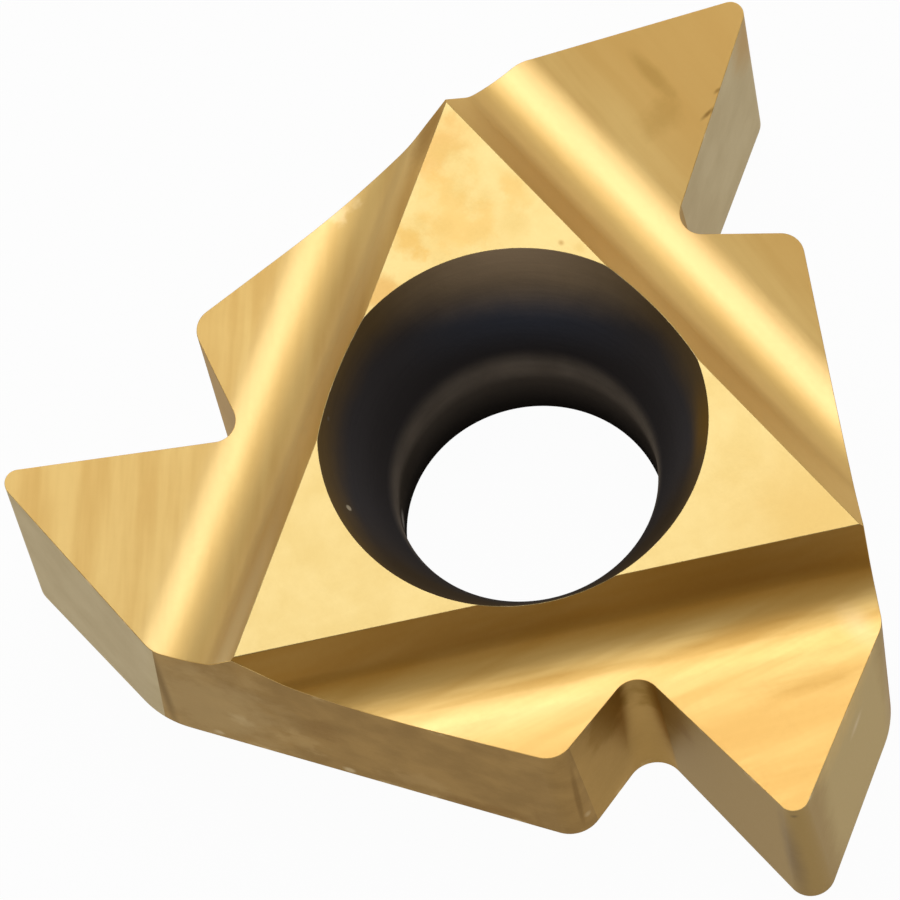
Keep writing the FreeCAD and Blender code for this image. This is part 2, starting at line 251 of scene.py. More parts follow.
class GrooveSection:
    """Section of the top along a tooth: platform, brink, steep wall, heel, wide hollow and rake face."""

    def __init__(self, sizes: InsertSizes) -> None:
        """Works out where each run of the section starts.

        Args:
            sizes: The insert's sizes.
        """
        self.high = sizes.thickness
        self.wall = math.radians(sizes.wall_angle)
        self.rake = math.radians(sizes.rake_angle)
        self.foot = sizes.platform_width
        self.edge = sizes.platform_edge
        self.heel = sizes.heel_radius
        self.hollow = sizes.groove_radius
        self.tip_along = float(sizes.sharp_tip[1])
        self.tip_height = sizes.thickness - sizes.tip_drop
        self.brink = self.foot - self.edge * math.tan(self.wall / 2)
        self.brink_end = self.brink + self.edge * math.sin(self.wall)
        # The hollow touches the rake line, and the heel touches the wall and the hollow
        self.hollow_along = sizes.groove_middle
        self.hollow_end = self.hollow_along + self.hollow * math.sin(self.rake)
        touch = self.tip_height - (self.tip_along - self.hollow_end) * math.tan(self.rake)
        self.hollow_up = touch + self.hollow * math.cos(self.rake)
        down = np.array([math.cos(self.wall), -math.sin(self.wall)])
        off = np.array([math.sin(self.wall), math.cos(self.wall)])
        beside = np.array([self.foot, self.high]) + off * self.heel
        gap = beside - np.array([self.hollow_along, self.hollow_up])
        reach = float(gap @ down)
        drop = math.sqrt(reach**2 - float(gap @ gap) + (self.hollow - self.heel) ** 2) - reach
        self.heel_along, self.heel_up = beside + down * drop
        self.wall_end = self.heel_along - self.heel * math.sin(self.wall)
        self.turned = math.asin((self.hollow_along - self.heel_along) / (self.hollow - self.heel))
        self.hollow_start = self.heel_along - self.heel * math.sin(self.turned)

    def select(self, along: np.ndarray, runs: Sequence[np.ndarray]) -> np.ndarray:
        """Picks the value of the run that each distance falls in."""
        ends = [self.brink, self.brink_end, self.wall_end, self.hollow_start, self.hollow_end]
        return np.select([along <= end for end in ends], runs[:-1], runs[-1])

    def height(self, along: np.ndarray) -> np.ndarray:
        """Height of the top at distances along a tooth from the bore axis.

        Args:
            along: The distances, in millimetres.

        Returns:
            The heights over the base.
        """
        platform = np.full_like(along, self.high)
        brink = self.high - self.edge + np.sqrt(np.maximum(self.edge**2 - (along - self.brink) ** 2, 0.0))
        wall = self.high - (along - self.foot) * math.tan(self.wall)
        heel = self.heel_up - np.sqrt(np.maximum(self.heel**2 - (along - self.heel_along) ** 2, 0.0))
        hollow = self.hollow_up - np.sqrt(np.maximum(self.hollow**2 - (along - self.hollow_along) ** 2, 0.0))
        rake = self.tip_height - (self.tip_along - along) * math.tan(self.rake)
        return self.select(along, [platform, brink, wall, heel, hollow, rake])

    def tilt(self, along: np.ndarray) -> np.ndarray:
        """Lean of the surface's normal from +Z, in radians, positive away from the bore.

        Args:
            along: Distances along a tooth from the bore axis.

        Returns:
            The lean at each of them.
        """
        brink = np.arcsin(np.clip((along - self.brink) / self.edge, -1.0, 1.0))
        wall = np.full_like(along, self.wall)
        heel = np.arcsin(np.clip((self.heel_along - along) / self.heel, -1.0, 1.0))
        hollow = np.arcsin(np.clip((self.hollow_along - along) / self.hollow, -1.0, 1.0))
        return self.select(along, [wall * 0.0, brink, wall, heel, hollow, wall * 0.0 - self.rake])

    def normals(self, along: np.ndarray, teeth: np.ndarray) -> np.ndarray:
        """Surface normals at distances along the given teeth.

        Args:
            along: The distances.
            teeth: The number of the tooth for each.

        Returns:
            The normals, one row each.
        """
        tilt = self.tilt(along)
        plan = TOOTH_AXES[teeth] * np.sin(tilt)[:, None]
        return np.column_stack([plan, np.cos(tilt)])

    def lines(self) -> list[float]:
        """Distances along a tooth at which the top's mesh has a line across.

        Returns:
            The distances in order, in millimetres.
        """
        brink = self.brink + self.edge * np.sin(self.wall * np.linspace(0.0, 1.0, BRINK_LINES))
        heel = self.heel_along - self.heel * np.sin(np.linspace(self.wall, self.turned, HEEL_LINES))
        hollow_turns = np.linspace(self.turned, -self.rake, HOLLOW_LINES)[1:]
        hollow = self.hollow_along - self.hollow * np.sin(hollow_turns)
        rake = np.arange(self.hollow_end + RAKE_SPACING, self.tip_along - RAKE_SPACING, RAKE_SPACING)
        return [float(line) for line in np.concatenate([brink, heel, hollow, rake])]


@dataclass(frozen=True)
class Wall:
    """Upright wall of the outline, by its outward direction and its distance from the bore axis."""

    angle: float
    at_base: float
    at_top: float
    zone: Zone


@dataclass(frozen=True)
class Round:
    """Rounded upright edge between two walls. It is hollow in the root of a notch."""

    radius: tuple[float, float]
    zone: Zone
    far_zone: Zone
    steps: int
    hollow: bool = False


@dataclass
class Rails:
    """Straight lines that the sides are ruled along, from the base to the top, in order round the outline.

    zone holds the finish of the strip between each rail and the next. free marks the rails that only divide a
    straight wall.
    """

    foot: np.ndarray
    head: np.ndarray
    normal: np.ndarray
    zone: np.ndarray
    free: np.ndarray
    high: float

    def plan(self, level: np.ndarray | float, inset: np.ndarray | float = 0.0) -> np.ndarray:
        """Plan position of each rail at a height, moved inwards by an inset.

        Args:
            level: The height, one for all or one for each rail.
            inset: The inset, likewise.

        Returns:
            The positions, one row each.
        """
        share = np.broadcast_to(np.asarray(level, float) / self.high, (len(self.foot),))
        inset = np.broadcast_to(np.asarray(inset, float), (len(self.foot),))
        return self.foot + (self.head - self.foot) * share[:, None] - self.normal * inset[:, None]

    def side_normals(self) -> np.ndarray:
        """Normal of the side along each rail, with the lean of the side in it.

        Returns:
            The normals, one row each.
        """
        lean = -np.sum(self.normal * (self.head - self.foot), axis=1) / self.high
        normals = np.column_stack([self.normal, lean])
        return normals / np.linalg.norm(normals, axis=1)[:, None]

    def pick(self, places: np.ndarray) -> "Rails":
        """Rails at places along the outline.

        Args:
            places: The number of the rail before each wanted one, plus its share of the way to the next.

        Returns:
            The rails at those places.
        """
        before = np.floor(places).astype(int)
        share = (places - before)[:, None]
        after = (before + 1) % len(self.foot)
        normal = self.normal[before] * (1 - share) + self.normal[after] * share
        normal /= np.linalg.norm(normal, axis=1)[:, None]
        return Rails(
            self.foot[before] * (1 - share) + self.foot[after] * share,
            self.head[before] * (1 - share) + self.head[after] * share,
            normal,
            self.zone[before],
            self.free[before] | (share[:, 0] > 0),
            self.high,
        )


class Outline:
    """Plan of the insert: three teeth, each with its notch and the long side that follows."""

    def __init__(self, sizes: InsertSizes) -> None:
        """Keeps the sizes for the walls and rounds.

        Args:
            sizes: The insert's sizes.
        """
        self.sizes = sizes

    def walls(self) -> list[Wall]:
        """Walls in order, clockwise seen from above, starting with the long side before the first tooth.

        Returns:
            Four walls for each tooth.
        """
        sizes = self.sizes
        half = sizes.tooth_angle / 2
        base = sizes.side_distance - sizes.thickness * math.tan(math.radians(sizes.side_relief))
        outer = float(heading(90.0 + 2 * half) @ sizes.sharp_tip)
        inner = float(heading(half) @ sizes.sharp_tip)
        back_heading = 180.0 - sizes.back_angle
        back = float(heading(back_heading) @ sizes.sharp_root)
        found = []
        for tooth in range(TEETH):
            turn = -360.0 / TEETH * tooth
            found.append(Wall(180.0 + turn, base, sizes.side_distance, Zone.LONG_SIDE))
            found.append(Wall(90.0 + 2 * half + turn, outer, outer, Zone.FLANK))
            found.append(Wall(half + turn, inner, inner, Zone.FLANK))
            found.append(Wall(back_heading + turn, back, back, Zone.NOTCH))
        return found

    def rounds(self) -> list[Round]:
        """Rounds in order: each lies between the wall of its number and the next wall.

        Returns:
            Four rounds for each tooth.
        """
        sizes = self.sizes
        one_tooth = [
            Round(sizes.corner_radius, Zone.LONG_SIDE, Zone.FLANK, steps=10),
            Round(sizes.tip_radius, Zone.FLANK, Zone.FLANK, steps=18),
            Round(sizes.root_radius, Zone.NOTCH, Zone.NOTCH, steps=16, hollow=True),
            Round(sizes.shoulder_radius, Zone.LONG_SIDE, Zone.LONG_SIDE, steps=12),
        ]
        return one_tooth * TEETH

    @staticmethod
    def arc(first: Wall, second: Wall, between: Round, level: int) -> tuple[np.ndarray, np.ndarray]:
        """Points and outward normals of a round at the base or the top.

        Args:
            first: The wall before the round.
            second: The wall after it.
            between: The round itself.
            level: 0 at the base and 1 at the top.

        Returns:
            The points and the normals, one row each.
        """
        radius = between.radius[level] * (-1 if between.hollow else 1)
        normals = np.array([heading(first.angle), heading(second.angle)])
        reach = [wall.at_top if level else wall.at_base for wall in (first, second)]
        centre = np.linalg.solve(normals, np.array(reach) - radius)
        turn = (second.angle - first.angle + 180.0) % 360.0 - 180.0
        angles = first.angle + turn * np.linspace(0.0, 1.0, between.steps + 1)
        outward = np.array([heading(angle) for angle in angles])
        return centre + radius * outward, outward

    def rails(self, spacing: float) -> Rails:
        """Rails along every round and wall.

        Args:
            spacing: Longest distance between rails on a straight wall, in millimetres.

        Returns:
            The rails in order round the outline.
        """
        walls, rounds = self.walls(), self.rounds()
        arcs = []
        for number, between in enumerate(rounds):
            first, second = walls[number], walls[(number + 1) % len(walls)]
            foot, normal = self.arc(first, second, between, 0)
            head, _ = self.arc(first, second, between, 1)
            arcs.append((foot, head, normal))
        feet, heads, normals, zones, free = [], [], [], [], []
        for number, (foot, head, normal) in enumerate(arcs):
            feet.append(foot)
            heads.append(head)
            normals.append(normal)
            zones += [rounds[number].zone] * (rounds[number].steps // 2)
            zones += [rounds[number].far_zone] * (rounds[number].steps - rounds[number].steps // 2)
            free += [False] * len(foot)
            wall = walls[(number + 1) % len(walls)]
            next_foot, next_head, _ = arcs[(number + 1) % len(arcs)]
            length = max(np.linalg.norm(next_head[0] - head[-1]), np.linalg.norm(next_foot[0] - foot[-1]))
            count = max(int(math.ceil(length / spacing)), 1)
            shares = (np.arange(1, count) / count)[:, None]
            feet.append(foot[-1] + (next_foot[0] - foot[-1]) * shares)
            heads.append(head[-1] + (next_head[0] - head[-1]) * shares)
            normals.append(np.repeat(heading(wall.angle)[None, :], count - 1, axis=0))
            zones += [wall.zone] * count
            free += [True] * (count - 1)
        return Rails(
            np.vstack(feet),
            np.vstack(heads),
            np.vstack(normals),
            np.array(zones),
            np.array(free),
            self.sizes.thickness,
        )


# Mesh of the insert


@dataclass
class Skin:
    """Vertices, faces and what the finishes need of them, collected before the mesh is made."""

    places: list[np.ndarray] = field(default_factory=list)
    normals: list[np.ndarray] = field(default_factory=list)
    charts: list[np.ndarray] = field(default_factory=list)
    edges: list[np.ndarray] = field(default_factory=list)
    faces: list[tuple[int, ...]] = field(default_factory=list)
    zones: list[int] = field(default_factory=list)
    corner_normals: list[np.ndarray] = field(default_factory=list)
    corner_charts: list[np.ndarray] = field(default_factory=list)
    count: int = 0

    def add_ring(
        self,
        plan: np.ndarray,
        height: np.ndarray | float,
        normals: np.ndarray,
        travel: np.ndarray | float,
        surface: float,
        edge: float,
    ) -> np.ndarray:
        """Adds vertices.

        Args:
            plan: Their plan positions in millimetres, one row each.
            height: Their heights, one for all or one for each.
            normals: Their surface normals, of any length.
            travel: How far along their own surface they lie, for marks that run along it.
            surface: The number of that surface in the chart.
            edge: 1 on an edge and 0 away from one.

        Returns:
            The numbers of the new vertices.
        """
        count = len(plan)
        height = np.broadcast_to(height, (count,))
        travel = np.broadcast_to(travel, (count,))
        self.places.append(np.column_stack([plan, height]))
        self.normals.append(normals / np.linalg.norm(normals, axis=1)[:, None])
        self.charts.append(np.column_stack([travel, height, np.full(count, surface)]))
        self.edges.append(np.full(count, edge))
        self.count += count
        return np.arange(self.count - count, self.count)

    def add_face(
        self,
        corners: Sequence[int],
        zone: int,
        normals: np.ndarray | None = None,
        charts: np.ndarray | None = None,
    ) -> None:
        """Adds a face.

        Args:
            corners: Its vertex numbers, counter-clockwise seen from outside.
            zone: Its finish.
            normals: Normals of its own for its corners, or none for those of its vertices.
            charts: Charts of its own, likewise.
        """
        self.faces.append(tuple(int(corner) for corner in corners))
        self.zones.append(int(zone))
        self.corner_normals.append(normals)
        self.corner_charts.append(charts)

    def add_strips(self, rings: Sequence[np.ndarray], zones: np.ndarray, brow: Zone, brows: int) -> None:
        """Joins rings of equal length, from the top down, with strips of four-sided faces.

        Args:
            rings: Vertex numbers of each ring.
            zones: Finish of each face of a strip.
            brow: Finish of the first strips, on the edge of the top.
            brows: How many strips have it.
        """
        for strip, (upper, lower) in enumerate(zip(rings, rings[1:])):
            for number in range(len(upper)):
                following = (number + 1) % len(upper)
                corners = (upper[number], upper[following], lower[following], lower[number])
                self.add_face(corners, brow if strip < brows else zones[number])


class InsertMesh:
    """Builds the insert's surface from its sizes, with fine rounds on every edge."""

    def __init__(self, sizes: InsertSizes) -> None:
        """Prepares the section, the outline and the line pattern.

        Args:
            sizes: The insert's sizes.
        """
        self.sizes = sizes
        self.section = GrooveSection(sizes)
        self.lines = self.section.lines()
        self.rails = Outline(sizes).rails(RAIL_SPACING)
        self.skin = Skin()

    def top_height(self, plan: np.ndarray) -> np.ndarray:
        """Height of the insert's top over plan positions."""
        return self.section.height(np.max(plan @ TOOTH_AXES.T, axis=1))

    def cap_normals(self, plan: np.ndarray) -> tuple[np.ndarray, np.ndarray]:
        """Normals of the top and of the base at plan positions."""
        top = self.section.normals(np.max(plan @ TOOTH_AXES.T, axis=1), owner_of(plan))
        return top, np.tile([0.0, 0.0, -1.0], (len(plan), 1))

    def settle(self, count: int, spread: Callable[[np.ndarray], np.ndarray]) -> tuple[np.ndarray, np.ndarray]:
        """Finds an edge of the top whose place in plan depends on its height.

        Args:
            count: How many points the edge has.
            spread: Gives their plan positions from their heights.

        Returns:
            Their plan positions and heights.
        """
        level = np.full(count, self.sizes.thickness)
        for _ in range(SETTLINGS):
            plan = spread(level)
            level = self.top_height(plan)
        return plan, level

    def brim(self, rails: Rails) -> tuple[np.ndarray, np.ndarray]:
        """Inner side of the honed top edge, as plan positions and heights, one for each rail."""
        return self.settle(len(rails.foot), lambda level: rails.plan(level, self.sizes.hone))

    def seat_radius(self, level: np.ndarray) -> np.ndarray:
        """Radius of the screw seat's cone at a height."""
        lean = math.tan(math.radians(self.sizes.seat_angle / 2))
        return self.sizes.rim_diameter / 2 - (self.sizes.thickness - level) * lean

    def rim(self, bearings: np.ndarray) -> tuple[np.ndarray, np.ndarray]:
        """Outer side of the honed edge round the screw seat, as plan positions and heights."""
        out = np.column_stack([np.cos(bearings), np.sin(bearings)])
        return self.settle(len(out), lambda level: out * (self.seat_radius(level) + self.sizes.hone)[:, None])

    def crossings(self, loop: np.ndarray, sample: Callable[[np.ndarray], np.ndarray]) -> np.ndarray:
        """Places where a closed loop crosses the section's lines or passes from one tooth's side to the next.

        Args:
            loop: Plan positions of the loop in order.
            sample: Gives plan positions at places along the loop, in numbers of its points.

        Returns:
            The places, in numbers of the loop's points.
        """
        along = loop @ TOOTH_AXES.T
        owner = owner_of(loop)
        starts, weights, levels = [], [], []
        for number in range(len(loop)):
            following = (number + 1) % len(loop)
            here, there = int(owner[number]), int(owner[following])
            if here != there:
                starts.append(number)
                weights.append(np.eye(TEETH)[here] - np.eye(TEETH)[there])
                levels.append(0.0)
            for tooth in {here, there}:
                for line in self.lines:
                    if (along[number, tooth] - line) * (along[following, tooth] - line) < 0:
                        starts.append(number)
                        weights.append(np.eye(TEETH)[tooth])
                        levels.append(line)
        first, weight, level = np.array(starts, float), np.array(weights), np.array(levels)
        low, high = np.zeros(len(first)), np.ones(len(first))
        sign = np.sign(np.sum(along[first.astype(int)] * weight, axis=1) - level)
        for _ in range(HALVINGS):
            middle = (low + high) / 2
            value = np.sum((sample(first + middle) @ TOOTH_AXES.T) * weight, axis=1) - level
            before = np.sign(value) == sign
            low, high = np.where(before, middle, low), np.where(before, high, middle)
        places = first + (low + high) / 2
        found = sample(places) @ TOOTH_AXES.T
        keep = [
            level[number] == 0.0 or found[number] @ weight[number] > found[number].max() - SHARED
            for number in range(len(places))
        ]
        return places[np.array(keep)]

    def stations(
        self, loop: np.ndarray, sample: Callable[[np.ndarray], np.ndarray], spare: Sequence[int]
    ) -> np.ndarray:
        """Places along a loop for the points of its rings: the loop's own points and its crossings.

        Args:
            loop: Plan positions of the loop in order.
            sample: Gives plan positions at places along the loop.
            spare: Numbers of the points that give way to a crossing close to them.

        Returns:
            The places in order, in numbers of the loop's points.
        """
        crossings = self.crossings(loop, sample)
        crowded = [number for number in spare if np.abs(crossings - number).min() < CROWDED]
        return np.unique(np.concatenate([np.setdiff1d(np.arange(len(loop)), crowded), crossings]))

    def line_ends(self, loop: np.ndarray) -> dict[tuple[int, int], list[int]]:
        """Points of a loop that lie on each line of each tooth's section.

        Args:
            loop: Plan positions of the loop in order.

        Returns:
            Numbers of the points, by tooth and number of the line.
        """
        found: dict[tuple[int, int], list[int]] = {}
        along = loop @ TOOTH_AXES.T
        for number, row in enumerate(along):
            for tooth in range(TEETH):
                if row[tooth] < np.max(row) - ON_RIDGE:
                    continue
                for index, line in enumerate(self.lines):
                    if abs(row[tooth] - line) < ON_LINE:
                        found.setdefault((tooth, index), []).append(number)
        return found

    def add_top(self, outer: np.ndarray, inner: np.ndarray, brim: np.ndarray, rim: np.ndarray) -> None:
        """Fills the top between the brim and the screw seat's rim, with lines along each groove.

        Args:
            outer: Vertex numbers of the brim.
            inner: Vertex numbers of the rim.
            brim: Plan positions of the brim.
            rim: Plan positions of the rim.
        """
        ridge_plan, ridge_keys = [], []
        for tooth in range(TEETH):
            for index, line in enumerate(self.lines):
                place = tooth_axis(tooth) * line + tooth_across(tooth) * line * RIDGE_ACROSS
                if is_inside(place, brim):
                    ridge_plan.append(place)
                    ridge_keys.append((tooth, (tooth + 1) % TEETH, index))
        ridge_places = np.array(ridge_plan).reshape(-1, 2)
        level = self.top_height(ridge_places)
        up = np.tile([0.0, 0.0, 1.0], (len(ridge_places), 1))
        ridge = self.skin.add_ring(ridge_places, level, up, 0.0, 0.0, 0.0)
        plan = np.vstack([brim, rim, ridge_places])
        numbers = np.concatenate([outer, inner, ridge])
        first_rim, first_ridge = len(brim), len(brim) + len(rim)
        ends = self.line_ends(brim)
        for key, found in self.line_ends(rim).items():
            ends.setdefault(key, []).extend(first_rim + number for number in found)
        ties = []
        for number, (tooth, other, index) in enumerate(ridge_keys):
            ends.setdefault((tooth, index), []).append(first_ridge + number)
            ends.setdefault((other, index), []).append(first_ridge + number)
            if number + 1 < len(ridge_keys) and ridge_keys[number + 1][0] == tooth:
                ties.append((first_ridge + number, first_ridge + number + 1))
        for (tooth, _), found in ends.items():
            found = sorted(set(found), key=lambda number: float(plan[number] @ tooth_across(tooth)))
            for start, end in zip(found, found[1:]):
                middle = (plan[start] + plan[end]) / 2
                clear = is_inside(middle, brim) and not is_inside(middle, rim)
                if clear and (middle @ TOOTH_AXES.T)[tooth] >= np.max(middle @ TOOTH_AXES.T) - SHARED:
                    ties.append((start, end))
        brink = self.section.brink + self.sizes.platform_edge * BRINK_SHARE
        for corners in fill_between(plan, ties, [len(brim), len(rim)]):
            middle = np.mean(plan[corners], axis=0)
            tooth = int(owner_of(middle[None, :])[0])
            along = plan[corners] @ TOOTH_AXES[tooth]
            across = plan[corners] @ tooth_across(tooth)
            teeth = np.full(len(corners), tooth)
            zone = Zone.PLATFORM if float(middle @ TOOTH_AXES[tooth]) < brink else Zone.GROOVE
            charts = np.column_stack([across, along, teeth])
            self.skin.add_face(numbers[corners], zone, self.section.normals(along, teeth), charts)

    def add_base(self, outer: np.ndarray, inner: np.ndarray, rim: np.ndarray, mouth: np.ndarray) -> None:
        """Fills the flat base between its outline and the bore.

        Args:
            outer: Vertex numbers of the outline.
            inner: Vertex numbers of the bore's edge.
            rim: Plan positions of the outline.
            mouth: Plan positions of the bore's edge.
        """
        numbers = np.concatenate([outer, inner])
        for corners in fill_between(np.vstack([rim, mouth]), [], [len(rim), len(mouth)]):
            self.skin.add_face(numbers[corners[::-1]], Zone.BASE)

    def add_sides(self) -> tuple[np.ndarray, np.ndarray, np.ndarray, np.ndarray]:
        """Builds the sides from the brim down to the base.

        Returns:
            The brim's vertex numbers and plan, and the base outline's vertex numbers and plan.
        """
        hone, base = self.sizes.hone, self.sizes.base_edge
        plan, _ = self.brim(self.rails)
        divided = np.flatnonzero(self.rails.free)
        places = self.stations(plan, lambda places: self.brim(self.rails.pick(places))[0], divided)
        rails = self.rails.pick(places)
        plan, level = self.brim(rails)
        side = rails.side_normals()
        top, down = self.cap_normals(plan)
        steps = np.linalg.norm(np.diff(plan, axis=0, append=plan[:1]), axis=1)
        travel = np.concatenate([[0.0], np.cumsum(steps)[:-1]])

        def ring(height: np.ndarray | float, inset: float, normals: np.ndarray, edge: float) -> np.ndarray:
            """Adds one ring of the sides, at a height and an inset."""
            return self.skin.add_ring(rails.plan(height, inset), height, normals, travel, SIDE_CHART, edge)

        rings = [
            ring(level, hone, top, 1.0),
            ring(level - hone * BEND, hone * BEND, top + side, 1.0),
            ring(level - hone, 0.0, side, 1.0),
        ]
        rings += [ring(level - hone - depth, 0.0, side, wear) for depth, wear in UNDER_EDGE]
        upper, lower = level - hone - UNDER_EDGE[-1][0], OVER_BASE[0][0]
        rings += [ring(upper * (1 - share) + lower * share, 0.0, side, 0.0) for share in SIDE_SHARES]
        rings += [ring(height, 0.0, side, wear) for height, wear in (*OVER_BASE, (base, 1.0))]
        rings += [ring(base * BEND, base * BEND, side + down, 1.0), ring(0.0, base, down, BASE_WEAR)]
        self.skin.add_strips(rings, rails.zone, Zone.GROOVE, brows=2)
        return rings[0], plan, rings[-1], rails.plan(0.0, base)

    def add_hole(self) -> tuple[np.ndarray, np.ndarray, np.ndarray, np.ndarray]:
        """Builds the screw seat and the bore, from the rim down to the base.

        Returns:
            The rim's vertex numbers and plan, and the bore edge's vertex numbers and plan at the base.
        """
        sizes = self.sizes
        hone, base, bore = sizes.hone, sizes.base_edge, sizes.bore_diameter / 2
        spacing = 2 * math.pi / HOLE_POINTS
        plan, _ = self.rim(np.arange(HOLE_POINTS) * spacing)
        places = self.stations(plan, lambda places: self.rim(places * spacing)[0], range(HOLE_POINTS))
        bearings = places * spacing
        plan, level = self.rim(bearings)
        out = np.column_stack([np.cos(bearings), np.sin(bearings)])
        top, down = self.cap_normals(plan)

        def slope_normals(lean: float) -> np.ndarray:
            """Normals of the hole's wall where it leans out from upright by an angle."""
            return np.column_stack([-out * math.cos(lean), np.full(len(out), math.sin(lean))])

        def ring(
            radius: np.ndarray | float, height: np.ndarray | float, normals: np.ndarray, edge: float
        ) -> np.ndarray:
            """Adds one ring of the hole, at a radius and a height."""
            reach = np.broadcast_to(radius, level.shape)[:, None]
            return self.skin.add_ring(out * reach, height, normals, bearings * radius, HOLE_CHART, edge)

        half = math.radians(sizes.seat_angle / 2)
        cone, wall = slope_normals(half), slope_normals(0.0)
        throat = sizes.thickness - (sizes.rim_diameter / 2 - bore) / math.tan(half)
        centre = throat - sizes.throat_radius * math.tan(half / 2)
        cone_end = centre + sizes.throat_radius * math.sin(half)
        upper = level - hone - UNDER_RIM
        rings = [
            ring(self.seat_radius(level) + hone, level, top, 1.0),
            ring(self.seat_radius(level - hone * BEND) + hone * BEND, level - hone * BEND, top + cone, 1.0),
            ring(self.seat_radius(level - hone), level - hone, cone, 1.0),
            ring(self.seat_radius(upper), upper, cone, RIM_WEAR),
        ]
        for share in CONE_SHARES:
            height = upper * (1 - share) + cone_end * share
            rings.append(ring(self.seat_radius(height), height, cone, 0.0))
        for step in range(THROAT_STEPS - 1, -1, -1):
            lean = half * step / THROAT_STEPS
            radius = bore + sizes.throat_radius * (1 - math.cos(lean))
            height = centre + sizes.throat_radius * math.sin(lean)
            rings.append(ring(radius, height, slope_normals(lean), 0.0))
        rings += [ring(bore, height, wall, wear) for height, wear in (*IN_BORE, (base, 1.0))]
        rings.append(ring(bore + base * BEND, base * BEND, wall + down, 1.0))
        rings.append(ring(bore + base, 0.0, down, BASE_WEAR))
        self.skin.add_strips(rings, np.full(len(out), int(Zone.SEAT)), Zone.PLATFORM, brows=1)
        return rings[0], plan, rings[-1], out * (bore + base)

    def build(self, name: str) -> bpy.types.Object:
        """Makes the whole insert as one closed mesh.

        Args:
            name: The new object's name.

        Returns:
            The object, linked to the scene.
        """
        outer, brim, foot, foot_plan = self.add_sides()
        inner, rim, mouth, mouth_plan = self.add_hole()
        self.add_top(outer, inner, brim, rim)
        self.add_base(foot, mouth, foot_plan, mouth_plan)
        skin = self.skin
        places = np.vstack(skin.places) * METRES
        normals, charts = np.vstack(skin.normals), np.vstack(skin.charts)
        mesh = bpy.data.meshes.new(name)
        mesh.from_pydata([tuple(place) for place in places], [], skin.faces)
        mesh.polygons.foreach_set("material_index", np.array(skin.zones, np.int32))
        edges = np.concatenate(skin.edges)
        loop_normals, loop_charts, loop_edges = [], [], []
        for corners, own_normals, own_charts in zip(skin.faces, skin.corner_normals, skin.corner_charts):
            picked = list(corners)
            loop_edges.append(edges[picked] if own_charts is None else edges[picked] * 0.0)
            loop_normals.append(normals[picked] if own_normals is None else own_normals)
            loop_charts.append(charts[picked] if own_charts is None else own_charts)
        chart = mesh.attributes.new("chart", "FLOAT_VECTOR", "CORNER")
        chart.data.foreach_set("vector", np.vstack(loop_charts).astype(np.float32).ravel())
        edge = mesh.attributes.new("edge", "FLOAT", "CORNER")
        edge.data.foreach_set("value", np.concatenate(loop_edges).astype(np.float32))
        mesh.normals_split_custom_set([tuple(normal) for normal in np.vstack(loop_normals)])
        mesh.update()
        made = bpy.data.objects.new(name, mesh)
        bpy.context.scene.collection.objects.link(made)
        return made


# Finishes

# Depth of the finest marks, in metres, and the part of it that the coating's grain has
MARK_DEPTH = 0.00001
GRAIN_SHARE = 0.3
# Noise values that become 0 and 1 in a cloudy pattern and in a grain, and the middle of all noise
CLOUDY = (0.3, 0.7)
GRAINY = (0.25, 0.75)
NOISE_MIDDLE = 0.5
# How much finer the grain is than the mottle
GRAIN_FINENESS = 18.0
# How closely the grinding marks lie along, across and between the surfaces of the chart
STREAK_STRETCH = (0.10, 1.0, 7.0)
SCRATCH_STRETCH = (0.05, 1.0, 3.0)
# Scale of the noise on a patch's border, in cells per millimetre, and how far it bends the border
BORDER_SCALE = 2.6
BORDER_BEND = 4.0
# Noise value over which an edge is worn where the amount is 0, how much the amount lowers it, and the fade
WEAR_START = 0.62
WEAR_GAIN = 0.3
WEAR_SOFTNESS = 0.12
# Full core of a speck, as a share of its size
SPECK_CORE = 0.4
# Grinding marks that break up a streaked patch
PATCH_LINES = {"Turn": -0.03, "Streak": 2.4, "Scratch": 14.0}
# Inputs and output of a Mix node that hold colours
MIX_COLOURS = slice(6, 8)
MIX_RESULT = 2


